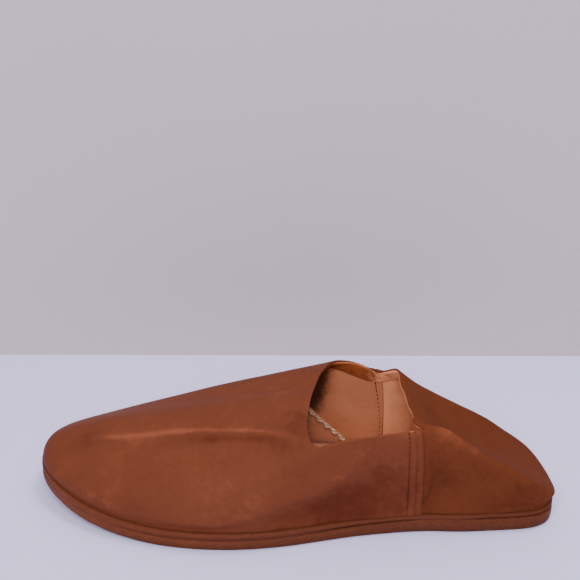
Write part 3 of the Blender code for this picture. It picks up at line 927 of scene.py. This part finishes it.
def sew(name, rows, material, pitch, thread, rise):
    """A row of stitches along each (points, facing directions) of rows, as one mesh."""
    points, facing, edges = [], [], []
    for row_points, row_facing in rows:
        first = sum(len(part) for part in points)
        points.append(row_points + SHIFT)
        facing.append(row_facing)
        edges += [(first + step, first + step + 1) for step in range(len(row_points) - 1)]
    mesh = bpy.data.meshes.new(name)
    mesh.from_pydata(np.concatenate(points).tolist(), edges, [])
    attribute = mesh.attributes.new("facing", 'FLOAT_VECTOR', 'POINT')
    attribute.data.foreach_set("vector", np.concatenate(facing).astype(np.float32).reshape(-1))
    item = new_item(name, mesh)
    modifier = item.modifiers.new("stitches", 'NODES')
    modifier.node_group = bpy.data.node_groups.get("thread stitches") or stitch_tree()
    sizes = {"Pitch": pitch, "Length": STITCH_LENGTH, "Thread": thread, "Rise": rise, "Sink": STITCH_SINK,
             "Material": material}
    for socket in modifier.node_group.interface.items_tree:
        if socket.in_out == 'INPUT' and socket.name in sizes:
            modifier[socket.identifier] = sizes[socket.name]
    depsgraph = bpy.context.evaluated_depsgraph_get()
    finished = bpy.data.meshes.new_from_object(item.evaluated_get(depsgraph))
    item.modifiers.clear()
    item.data = finished
    finished.name = name
    hang(item)


def hand_stitches(name, points, facing, pitch, material):
    """Thick two-ply stitches, one after the other along a line of points."""
    length = np.append(0, np.cumsum(np.linalg.norm(np.diff(points, axis=0), axis=1)))
    share = np.linspace(0, 1, HAND_STEPS)
    arch = HAND_ARCH * np.sin(math.pi * share) ** 0.6 - HAND_SINK
    plump = (0.6 + 0.4 * np.sin(math.pi * share) ** 0.5)[:, None]
    spokes = 2 * math.pi * np.arange(HAND_SIDES) / HAND_SIDES
    index = np.arange(HAND_STEPS * HAND_SIDES).reshape(HAND_STEPS, HAND_SIDES)
    after = np.roll(index, -1, 1)
    walls = np.stack([index[:-1], index[1:], after[1:], after[:-1]], -1).reshape(-1, 4)
    vertices, faces = [], []
    for start in np.arange(HAND_START, length[-1] - 0.5 * pitch, pitch):
        spots = np.linspace(start, start + HAND_SHARE * pitch, HAND_STEPS)
        line, upward = (np.column_stack([np.interp(spots, length, values[:, axis]) for axis in range(3)])
                        for values in (points, facing))
        upward = unit(upward)
        line = line + upward * arch[:, None]
        tangent = unit(np.gradient(line, axis=0))
        side = unit(np.cross(tangent, upward))
        rise = np.cross(side, tangent)
        for ply in (0.0, math.pi):
            twist = (ply + HAND_TWIST * share + HAND_TURN)[:, None]
            centre = line + HAND_PLY * plump * (side * np.cos(twist) + rise * np.sin(twist))
            ring = (side[:, None] * np.cos(spokes)[None, :, None]
                    + rise[:, None] * np.sin(spokes)[None, :, None])
            first = index.size * len(vertices)
            vertices.append((centre[:, None] + HAND_RADIUS * plump[..., None] * ring).reshape(-1, 3))
            faces += (walls + first).tolist()
            faces += [(index[0] + first).tolist(), (index[-1, ::-1] + first).tolist()]
    hang(add_mesh(name, np.concatenate(vertices), faces), material)


# ---------------------------------------------------------------- node helpers
def fill(tree, item, feeds):
    """Fills a node's inputs with values or other nodes' outputs."""
    for key, value in feeds.items():
        socket = item.inputs[key]
        if isinstance(value, bpy.types.NodeSocket):
            tree.links.new(value, socket)
        else:
            socket.default_value = value


def put(tree, kind, feeds=None, **settings):
    """Adds a node, sets its properties, fills its inputs and hands back its outputs."""
    item = tree.nodes.new(kind)
    for name, value in settings.items():
        setattr(item, name, value)
    fill(tree, item, feeds or {})
    return item.outputs


def maths(tree, operation, first, second=0.5, third=0.0, **settings):
    return put(tree, "ShaderNodeMath", {0: first, 1: second, 2: third}, operation=operation, **settings)[0]


def times(tree, first, second):
    return maths(tree, 'MULTIPLY', first, second)


def per_metre(tree, size):
    """A texture's scale from the size of its patches in metres."""
    return maths(tree, 'DIVIDE', 1.0, size)


def between(tree, value, low, high, out_low=0.0, out_high=1.0):
    """Smooth step of a value from low to high, put out between two others."""
    feeds = {"Value": value, "From Min": low, "From Max": high, "To Min": out_low, "To Max": out_high}
    return put(tree, "ShaderNodeMapRange", feeds, interpolation_type='SMOOTHSTEP')["Result"]


def mixed(tree, factor, first, second):
    return put(tree, "ShaderNodeMix", {0: factor, 6: first, 7: second}, data_type='RGBA')[2]


def own_place(tree):
    return put(tree, "ShaderNodeTexCoord")["Object"]


def cloud(tree, place, scale, **feeds):
    """Soft noise, 0 to 1, and the same as a colour."""
    return put(tree, "ShaderNodeTexNoise", {"Vector": place, "Scale": scale, **feeds})


def raised(tree, height, distance, **below):
    feeds = {"Height": height, "Distance": distance, "Strength": 1.0, **below}
    return put(tree, "ShaderNodeBump", feeds)["Normal"]


def add_sockets(tree, way, sockets, subtype=None):
    """Named sockets of a group, for a value or, where the default has four parts, a colour."""
    for label, default in sockets.items():
        kind = 'NodeSocketColor' if isinstance(default, tuple) else 'NodeSocketFloat'
        socket = tree.interface.new_socket(label, in_out=way, socket_type=kind)
        socket.default_value = default
        if subtype:
            socket.subtype = subtype


# ---------------------------------------------------------------- finishes
BLACK = (0.0, 0.0, 0.0, 1.0)
GRAIN_HEIGHT, WRINKLE_HEIGHT, PORE_DEPTH = 0.00006, 0.00004, 0.00012
SCUFF_SIZE, SCUFF_SHARE, PORE_SHARE, CREASE_SHARE = 0.0035, 0.36, 0.35, 0.03
STREAK_HEIGHT, FIBRE_HEIGHT, TWIST_HEIGHT = 0.00018, 0.00008, 0.00015
SOLE_DARKENING = (-0.07, 0.05)           # the sole's edge is darker from here, by the ball, to here
SOLE_SHINE, THREAD_SHINE, STAGE_SHINE = 0.06, 0.05, 0.1


def hide_tone(tree, given):
    """Uneven dye of a hide, with the painted shade and highlights in its tone: deep where the tone is -1,
    main at 0 and light at 1, with large and small patches over it."""
    place = own_place(tree)
    scale = per_metre(tree, given["Patch"])
    large = cloud(tree, place, scale, Detail=3.0, Roughness=0.55)["Fac"]
    small = cloud(tree, place, times(tree, scale, 6.3), Detail=4.0, Roughness=0.62)["Fac"]
    mottle = maths(tree, 'MULTIPLY_ADD', large, 0.62, times(tree, small, 0.38))
    uneven = times(tree, maths(tree, 'SUBTRACT', mottle, 0.5), given["Unevenness"])
    toned = maths(tree, 'ADD', given["Tone"], uneven)
    deep = mixed(tree, between(tree, toned, -1.0, 0.0), given["Deep"], given["Main"])
    return {"Colour": mixed(tree, between(tree, toned, 0.0, 1.0), deep, given["Light"]), "Mottle": mottle}


def leather_grain(tree, given):
    """Grain cells, pores and fine wrinkles of leather, as heights from 0 to 1."""
    place = own_place(tree)
    scale = per_metre(tree, given["Cell"])
    stir = cloud(tree, place, times(tree, scale, 0.35), Detail=2.0)["Color"]
    moved = put(tree, "ShaderNodeVectorMath", {0: stir, 1: (0.0009, 0.0009, 0.0009), 2: place},
                operation='MULTIPLY_ADD')[0]
    cells = put(tree, "ShaderNodeTexVoronoi", {"Vector": moved, "Scale": scale}, feature='DISTANCE_TO_EDGE')
    plates = between(tree, cells["Distance"], 0.0, 0.22)
    fine = cloud(tree, place, times(tree, scale, 2.6), Detail=3.0, Roughness=0.6)["Fac"]
    dots = put(tree, "ShaderNodeTexVoronoi",
               {"Vector": place, "Scale": times(tree, scale, 0.62), "Randomness": 1.0})["Distance"]
    sparse = cloud(tree, place, times(tree, scale, 0.06))["Fac"]
    pulled = put(tree, "ShaderNodeMapping", {"Vector": place, "Scale": (1.0, 0.45, 1.0)})[0]
    folds = cloud(tree, pulled, per_metre(tree, given["Wrinkle"]), Detail=5.0, Roughness=0.5,
                  Distortion=0.6)["Fac"]
    creases = maths(tree, 'ABSOLUTE', maths(tree, 'MULTIPLY_ADD', folds, 2.0, -1.0))
    return {"Grain": maths(tree, 'MULTIPLY_ADD', plates, 0.6, times(tree, fine, 0.4)),
            "Pores": times(tree, between(tree, dots, 0.16, 0.05), between(tree, sparse, 0.42, 0.62)),
            "Wrinkles": between(tree, creases, 0.0, 0.16)}


def rubbed_places(tree, given):
    """Scuffs and fine scratches where a surface has been rubbed."""
    place = own_place(tree)
    scale = per_metre(tree, given["Size"])
    spots = cloud(tree, place, scale, Detail=6.0, Roughness=0.7)["Fac"]
    turned = put(tree, "ShaderNodeMapping",
                 {"Vector": place, "Rotation": (0.4, 0.3, 0.9), "Scale": (1.0, 9.0, 9.0)})[0]
    lines = cloud(tree, turned, times(tree, scale, 0.6), Detail=5.0, Roughness=0.65)["Fac"]
    broken = maths(tree, 'MAXIMUM', between(tree, spots, 0.46, 0.66), between(tree, lines, 0.60, 0.70))
    everywhere = times(tree, between(tree, lines, 0.68, 0.78), 0.25)
    marked = maths(tree, 'MAXIMUM', times(tree, broken, given["Where"]), everywhere)
    return {"Mask": maths(tree, 'ADD', marked, 0.0, use_clamp=True)}


def cut_fibres(tree, given):
    """Layered fibres of a cut sole edge, or the nap of a raw face, as a height."""
    place = own_place(tree)
    scale = per_metre(tree, given["Size"])
    stretch = put(tree, "ShaderNodeCombineXYZ", {"X": 1.0, "Y": 1.0, "Z": given["Stretch"]})[0]
    long = put(tree, "ShaderNodeVectorMath", {0: place, 1: stretch}, operation='MULTIPLY')[0]
    return {"Fibres": cloud(tree, place, scale, Detail=4.0, Roughness=0.7)["Fac"],
            "Streaks": cloud(tree, long, times(tree, scale, 0.2), Detail=4.0, Roughness=0.6)["Fac"]}


# What each shared effect is given, what it puts out, and how it is made.
EFFECTS = {
    "hide tone": ({"Deep": BLACK, "Main": BLACK, "Light": BLACK, "Patch": 0.03, "Tone": 0.0,
                   "Unevenness": 2.0}, {"Colour": BLACK, "Mottle": 0.5}, hide_tone),
    "leather grain": ({"Cell": 0.0009, "Wrinkle": 0.006}, {"Grain": 0.5, "Pores": 0.0, "Wrinkles": 1.0},
                      leather_grain),
    "rubbed": ({"Where": 0.0, "Size": 0.004}, {"Mask": 0.0}, rubbed_places),
    "fibres": ({"Size": 0.0006, "Stretch": 8.0}, {"Fibres": 0.5, "Streaks": 0.5}, cut_fibres),
}


def effect(tree, name, feeds):
    """Places a shared shader group, which is built the first time it is asked for."""
    group = bpy.data.node_groups.get(name)
    if group is None:
        given, gives, make = EFFECTS[name]
        group = bpy.data.node_groups.new(name, 'ShaderNodeTree')
        add_sockets(group, 'INPUT', given)
        add_sockets(group, 'OUTPUT', gives)
        put(group, "NodeGroupOutput", make(group, put(group, "NodeGroupInput")))
    return put(tree, "ShaderNodeGroup", feeds, node_tree=group)


def painted(tree, name):
    return put(tree, "ShaderNodeAttribute", attribute_name=name)["Fac"]


def blank_material(name):
    material = bpy.data.materials.new(name)
    material.use_nodes = True
    tree = material.node_tree
    return material, tree, tree.nodes["Principled BSDF"]


def leather(name, deep, main, light, raw, patch=0.024, cell=0.0009, wrinkle=0.009, gloss=0.50,
            shine=0.03, uneven=2.2, edge=0.12):
    """A dyed leather; edge is how much of the raw colour shows on its cut edge."""
    material, tree, shader = blank_material(name)
    tone = effect(tree, "hide tone", {"Deep": deep, "Main": main, "Light": light, "Patch": patch,
                                      "Tone": painted(tree, "tone"), "Unevenness": uneven})
    grain = effect(tree, "leather grain", {"Cell": cell, "Wrinkle": wrinkle})
    rubbed = effect(tree, "rubbed", {"Where": painted(tree, "worn"), "Size": SCUFF_SIZE})["Mask"]
    pored = mixed(tree, times(tree, grain["Pores"], PORE_SHARE), tone["Colour"], deep)
    creased = mixed(tree, between(tree, grain["Wrinkles"], 1.0, 0.0, 0.0, CREASE_SHARE), pored, deep)
    scuffed = mixed(tree, times(tree, rubbed, SCUFF_SHARE), creased, light)
    edged = mixed(tree, times(tree, painted(tree, "cut_edge"), edge), scuffed, raw)
    rough = maths(tree, 'MULTIPLY_ADD', tone["Mottle"], 0.22, gloss - 0.11)
    bump = raised(tree, grain["Wrinkles"], WRINKLE_HEIGHT)
    bump = raised(tree, grain["Grain"], GRAIN_HEIGHT, Normal=bump)
    bump = raised(tree, times(tree, grain["Pores"], -1.0), PORE_DEPTH, Normal=bump)
    fill(tree, shader, {"Base Color": edged, "Roughness": maths(tree, 'MULTIPLY_ADD', rubbed, 0.12, rough),
                        "Normal": bump, "Specular IOR Level": shine})
    return material


def sole_edge(name, deep, main, light, low, high):
    """Burnished sole leather, darker towards the bottom, paler above."""
    material, tree, shader = blank_material(name)
    tone = effect(tree, "hide tone", {"Deep": deep, "Main": main, "Light": light, "Patch": 0.02})
    fibres = effect(tree, "fibres", {"Size": 0.0007, "Stretch": 9.0})
    rubbed = effect(tree, "rubbed", {"Where": 0.35, "Size": 0.003})["Mask"]
    place = put(tree, "ShaderNodeSeparateXYZ", {0: own_place(tree)})
    darker_back = mixed(tree, between(tree, place["Y"], *SOLE_DARKENING, 0.0, 0.5), tone["Colour"], deep)
    streaked = mixed(tree, between(tree, fibres["Streaks"], 0.35, 0.65, 0.35, 0.0), darker_back, deep)
    darker_low = mixed(tree, between(tree, place["Z"], low, high, 0.75, 0.0), streaked, deep)
    bump = raised(tree, fibres["Fibres"], FIBRE_HEIGHT, Normal=raised(tree, fibres["Streaks"], STREAK_HEIGHT))
    fill(tree, shader, {"Base Color": mixed(tree, times(tree, rubbed, 0.35), darker_low, light),
                        "Roughness": maths(tree, 'MULTIPLY_ADD', fibres["Streaks"], 0.3, 0.36),
                        "Normal": bump, "Specular IOR Level": SOLE_SHINE})
    return material


def twine(name, colour):
    """Thread, darker where dirt has gathered in it."""
    material, tree, shader = blank_material(name)
    fibres = effect(tree, "fibres", {"Size": 0.0004, "Stretch": 1.0})
    dirt = between(tree, fibres["Streaks"], 0.35, 0.68, 0.0, 0.7)
    fill(tree, shader, {"Base Color": mixed(tree, dirt, colour, faded(colour, 0.5)),
                        "Roughness": between(tree, fibres["Fibres"], 0.2, 0.8, 0.7, 0.95),
                        "Normal": raised(tree, fibres["Fibres"], TWIST_HEIGHT),
                        "Specular IOR Level": THREAD_SHINE})
    return material


def plain_stage(name, colour, one_sided=False):
    """A pale, faintly uneven surface; one-sided, it is clear from behind."""
    material, tree, shader = blank_material(name)
    clouds = cloud(tree, own_place(tree), 7.0, Detail=3.0)["Fac"]
    fill(tree, shader, {"Base Color": mixed(tree, clouds, faded(colour, 0.96), colour), "Roughness": 0.9,
                        "Specular IOR Level": STAGE_SHINE})
    if one_sided:
        both = put(tree, "ShaderNodeMixShader",
                   {0: put(tree, "ShaderNodeNewGeometry")["Backfacing"], 1: shader.outputs[0],
                    2: put(tree, "ShaderNodeBsdfTransparent")[0]})
        tree.links.new(both[0], tree.nodes["Material Output"].inputs["Surface"])
    return material


# ---------------------------------------------------------------- sizes and colours a user may change
def colour_prop(name, description, default):
    return FloatVectorProperty(name=name, description=description, default=default, size=4,
                               subtype='COLOR', min=0.0, max=1.0)


def length_prop(name, description, default):
    return FloatProperty(name=name, description=description, default=default, min=0.0,
                         subtype='DISTANCE', unit='LENGTH', precision=5)


class SlipperColours(bpy.types.PropertyGroup):
    """Dyes of the leathers and threads"""
    upper: colour_prop("Upper", "Dye of the vamp", (0.162, 0.0440, 0.0178, 1))
    # deep tone of the dye, also the colour of the painted shade in folds and hollows
    upper_deep_and_shade: colour_prop("Upper, deep", "Dye where it gathered in folds", (0.098, 0.0215, 0.008, 1))
    # light tone of the dye, also the colour of the painted highlights on ridges
    upper_light_and_highlight: colour_prop("Upper, light", "Dye on ridges and rubbed places", (0.280, 0.079, 0.033, 1))
    quarter: colour_prop("Quarter", "Darker dye of the quarter and folded heel", (0.138, 0.0365, 0.0135, 1))
    facing: colour_prop("Facing", "Band inside the collar", (0.262, 0.064, 0.017, 1))
    lining: colour_prop("Lining", "Undyed lining leather of the vamp", (0.520, 0.182, 0.078, 1))
    lining_pale: colour_prop("Quarter lining", "The paler lining behind the seams", (0.820, 0.322, 0.140, 1))
    insole: colour_prop("Insole", "Leather under the foot and in the toe", (0.570, 0.235, 0.112, 1))
    raw_edge: colour_prop("Cut edge", "Undyed edge of the upper leather", (0.480, 0.170, 0.070, 1))
    sole: colour_prop("Sole edge", "Burnished edge of the outsole", (0.168, 0.047, 0.018, 1))
    welt: colour_prop("Welt", "Edge of the midsole", (0.160, 0.043, 0.017, 1))
    thread: colour_prop("Hand thread", "Thick pale thread inside", (0.740, 0.450, 0.260, 1))
    seam_thread: colour_prop("Seam thread", "Dark thread of the seams and the welt", (0.085, 0.025, 0.010, 1))


class SlipperStitching(bpy.types.PropertyGroup):
    """Spacing and thickness of the threads"""
    welt_pitch: length_prop("Welt pitch", "From one welt stitch to the next", 0.0026)
    seam_pitch: length_prop("Seam pitch", "From one seam stitch to the next", 0.0023)
    thread_radius: length_prop("Thread radius", "Half the thickness of the seam thread", 0.00024)
    hand_pitch: length_prop("Hand pitch", "From one thick hand stitch to the next", 0.0055)


class SlipperStage(bpy.types.PropertyGroup):
    """Floor, backdrop and lights"""
    floor: colour_prop("Floor", "Pale table top", (0.85, 0.81, 1.00, 1))
    wall: colour_prop("Wall", "Pale wall behind", (0.665, 0.57, 0.55, 1))
    wall_distance: length_prop("Wall distance", "From the slipper's middle to the wall", 0.148)
    key_power: FloatProperty(name="Key light", description="Power of the large light overhead",
                             default=8.4, min=0.0, unit='POWER')
    fill_power: FloatProperty(name="Fill light", description="Power of the light beside the camera",
                              default=18.4, min=0.0, unit='POWER')
    sky: FloatProperty(name="Room light", description="Strength of the light from all round",
                       default=0.545, min=0.0)


def dye(name):
    return tuple(getattr(bpy.context.scene.slipper_colours, name))


def faded(colour, amount):
    """A colour darker (below 1) or paler (above 1)."""
    return tuple(min(1.0, part * amount) for part in colour[:3]) + (1.0,)


def shades(name, deep, light):
    """A dye where it is deep, as it is, and where it is rubbed."""
    return faded(dye(name), deep), dye(name), faded(dye(name), light)


# ---------------------------------------------------------------- operators
class SLIPPER_OT_sole(bpy.types.Operator):
    """Make the outsole, the welt round it and the insole"""
    bl_idname = "slipper.sole"
    bl_label = "Sole"

    def execute(self, context):
        edge = sole_edge("burnished sole", *shades("sole", 0.5, 1.9), 0.0005, 0.0055)
        hang(make_outsole(), edge, "outsole")
        edge = sole_edge("waxed welt", *shades("welt", 0.55, 1.7), 0.0070, 0.0080)
        hang(make_welt(), edge, "midsole")
        face = leather("insole leather", *shades("insole", 0.6, 1.25), dye("raw_edge"), gloss=0.62,
                       patch=0.03, shine=0.08)
        hang(make_insole(), face, "insole")
        return {'FINISHED'}


class SLIPPER_OT_upper(bpy.types.Operator):
    """Make the vamp and the quarter that folds down into the heel"""
    bl_idname = "slipper.upper"
    bl_label = "Upper"

    def execute(self, context):
        # Deep and light tones of both leathers also colour their painted shade and highlights.
        finish = leather("upper leather", dye("upper_deep_and_shade"), dye("upper"), dye("upper_light_and_highlight"),
                         dye("raw_edge"), edge=0.04)
        hang(make_vamp(), finish, "upper")
        darker = leather("quarter leather", *shades("quarter", 0.6, 1.9), dye("raw_edge"), shine=0.004,
                         edge=0.04)
        hang(make_quarter(), darker, "upper")
        return {'FINISHED'}


class SLIPPER_OT_lining(bpy.types.Operator):
    """Make the linings, the facing under the collar and the toe's own lining"""
    bl_idname = "slipper.lining"
    bl_label = "Lining"

    def execute(self, context):
        coarse = {"cell": 0.0012, "wrinkle": 0.012, "gloss": 0.70, "shine": 0.05}
        close = {"patch": 0.014, "gloss": 0.66}
        # The deep tones below also colour the painted shade in the toe, at the throat and on the facing's
        # front.
        plain = leather("lining leather", *shades("lining", 0.16, 1.35), dye("facing"), patch=0.014,
                        uneven=1.6, edge=0.6, **coarse)
        pale = leather("pale lining leather", *shades("lining_pale", 0.6, 1.2), dye("lining_pale"),
                       patch=0.012, **coarse)
        band = leather("facing leather", faded(dye("facing"), 0.25), dye("facing"), dye("lining_pale"),
                       dye("facing"), shine=0.02, **close)
        under = leather("toe lining leather", *shades("insole", 0.6, 1.3), dye("facing"), shine=0.05, **close)
        for make, finish in ((make_vamp_lining, plain), (make_quarter_lining, pale), (make_facing, band),
                             (make_toe_lining, under)):
            hang(make(), finish)
        return {'FINISHED'}


class SLIPPER_OT_stitching(bpy.types.Operator):
    """Sew the welt, the side seams, the lining seam and the toe's lining"""
    bl_idname = "slipper.stitching"
    bl_label = "Stitching"

    def execute(self, context):
        sizes = context.scene.slipper_stitching
        dark = twine("seam thread", dye("seam_thread"))
        pale = twine("hand thread", dye("thread"))
        seams = ((SEAM_OUTER, -1), (SEAM_INNER, 1))
        fine = FINE_THREAD * sizes.thread_radius

        places = np.linspace(INNER_ROUND - WELT_SEWN, INNER_ROUND + WELT_SEWN, WELT_ROW_POINTS)
        line, _ = foot_line(places, WELT_ROW)
        points = np.column_stack([line, midsole_top(line[:, 1]) + WELT_ROW_LIFT])
        upright = np.tile([0.0, 0.0, 1.0], (len(line), 1))
        sew("welt_stitches", [(points, upright)], dark, sizes.welt_pitch, fine, WELT_RISE)

        rows = []
        rises = np.linspace(*SEAM_SEWN, ROW_POINTS)
        level = LAP_STEP * lap_share(rises) + SEAM_ROW_LIFT
        for seam, side in seams:
            for row in SEAM_ROWS:
                places = np.full(ROW_POINTS, seam + side * row / GUIDE_SPACING)
                rows.append(skin_path(places, rises, level))
        sew("side_seam_stitches", rows, dark, sizes.seam_pitch, fine, SEAM_RISE)

        rows = []
        rises = np.linspace(*LINING_SEWN, ROW_POINTS)
        ahead = LINING_ROW + LINING_ROW_LEAN * ramp(rises, 0.2, 1.0)
        for seam, side in seams:
            places = seam + side * ahead / GUIDE_SPACING
            level = lining_level(places[:1], rises)[0] - LEATHER - BOND - LINING
            points, normals = skin_path(places, rises, level)
            rows.append((points, -normals))
        sew("lining_seam_stitches", rows, dark, sizes.seam_pitch, sizes.thread_radius, LINING_RISE)

        places = front_places()
        rises = np.maximum(front_limit(places) - HAND_ROW_IN, FEATHER + 0.03)
        level = lining_level(places, np.array([0.5]))[:, 0] - LEATHER - BOND - LINING - FRONT_LINING
        points, normals = skin_path(places, rises, level)
        inner = places < SEAM_INNER + HAND_SEWN
        outer = places > INNER_ROUND + SEAM_OUTER - HAND_SEWN
        hand_stitches("toe_lining_stitches_inner", points[inner], -normals[inner], sizes.hand_pitch, pale)
        hand_stitches("toe_lining_stitches_outer", points[outer][::-1], -normals[outer][::-1],
                      sizes.hand_pitch, pale)
        return {'FINISHED'}


STAGE_WIDE, STAGE_TALL, STAGE_DROP = 3.0, 2.5, -0.0001
KEY_PLACE, KEY_SIZE = (-0.10, 0.30, 1.22), 0.40
FILL_PLACE, FILL_SIZE = (0.95, -0.10, 1.00), 1.1
LIGHT_COLOUR = (0.865, 0.865, 1.0)
SKY_COLOUR = (0.71, 0.73, 1.00, 1)
CAMERA_PLACE = (0.4611, 0.0, 0.3350)      # from the last's own origin
CAMERA_YAW = 90.34                        # degrees: 90 looks along -X
CAMERA_DIP = 25.36                        # degrees below the horizontal
CAMERA_LENS = 67.22                       # millimetres, on a 36 mm wide frame


def stage_sheet(name, material, corners):
    mesh = bpy.data.meshes.new(name)
    mesh.from_pydata(corners, [], [(0, 1, 2, 3)])
    mesh.materials.append(material)
    return new_item(name, mesh)


def soft_light(name, place, size, power):
    light = bpy.data.lights.new(name, 'AREA')
    light.shape = 'DISK'
    light.size = size
    light.energy = power
    light.color = LIGHT_COLOUR
    item = new_item(name, light)
    item.location = place
    item.rotation_euler = (-Vector(place)).to_track_quat('-Z', 'Y').to_euler()


def aim_camera(scene):
    data = bpy.data.cameras.new("camera")
    data.lens = CAMERA_LENS
    data.sensor_width = 36.0
    data.clip_start = 0.01
    camera = new_item("camera", data)
    camera.location = Vector(CAMERA_PLACE) + Vector((SHIFT[0], SHIFT[1], 0.0))
    camera.rotation_euler = (math.radians(90 - CAMERA_DIP), 0.0, math.radians(CAMERA_YAW))
    scene.camera = camera


class SLIPPER_OT_stage(bpy.types.Operator):
    """Set the table top, the wall, the soft lights and the camera"""
    bl_idname = "slipper.stage"
    bl_label = "Stage"

    def execute(self, context):
        sizes = context.scene.slipper_stage
        wide, tall, drop = STAGE_WIDE, STAGE_TALL, STAGE_DROP
        back = -sizes.wall_distance + SHIFT[0]
        floor = stage_sheet("floor", plain_stage("table top", tuple(sizes.floor)), [
            (back - wide, -wide, drop), (wide, -wide, drop), (wide, wide, drop), (back - wide, wide, drop)])
        wall = stage_sheet("wall", plain_stage("painted wall", tuple(sizes.wall), True), [
            (back, -wide, drop), (back, wide, drop), (back, wide, tall), (back, -wide, tall)])
        soft_light("key light", KEY_PLACE, KEY_SIZE, sizes.key_power)
        soft_light("fill light", FILL_PLACE, FILL_SIZE, sizes.fill_power)
        world = bpy.data.worlds.new("room")
        world.use_nodes = True
        sky = world.node_tree.nodes["Background"]
        fill(world.node_tree, sky, {"Color": SKY_COLOUR, "Strength": sizes.sky})
        context.scene.world = world
        aim_camera(context.scene)
        return {'FINISHED'}


class SLIPPER_PT_panel(bpy.types.Panel):
    """Sizes, colours and pieces of the slipper"""
    bl_idname = "SLIPPER_PT_panel"
    bl_label = "Leather slipper"
    bl_space_type = 'VIEW_3D'
    bl_region_type = 'UI'
    bl_category = "Slipper"

    def draw(self, context):
        for name in GROUPS:
            group = getattr(context.scene, name)
            box = self.layout.box()
            for size in group.bl_rna.properties.keys():
                if size not in {"rna_type", "name"}:
                    box.prop(group, size)
        for operator in OPERATORS:
            self.layout.operator(operator.bl_idname)


GROUPS = {"slipper_colours": SlipperColours, "slipper_stitching": SlipperStitching,
          "slipper_stage": SlipperStage}
OPERATORS = (SLIPPER_OT_sole, SLIPPER_OT_upper, SLIPPER_OT_lining, SLIPPER_OT_stitching, SLIPPER_OT_stage)
KINDS = (*GROUPS.values(), *OPERATORS, SLIPPER_PT_panel)


def register():
    for kind in KINDS:
        bpy.utils.register_class(kind)
    for name, kind in GROUPS.items():
        setattr(bpy.types.Scene, name, PointerProperty(type=kind))


def unregister():
    for name in GROUPS:
        delattr(bpy.types.Scene, name)
    for kind in reversed(KINDS):
        bpy.utils.unregister_class(kind)


def main():
    register()
    bpy.ops.slipper.sole()
    bpy.ops.slipper.upper()
    bpy.ops.slipper.lining()
    bpy.ops.slipper.stitching()
    bpy.ops.slipper.stage()
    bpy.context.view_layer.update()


if __name__ == "__main__":
    main()
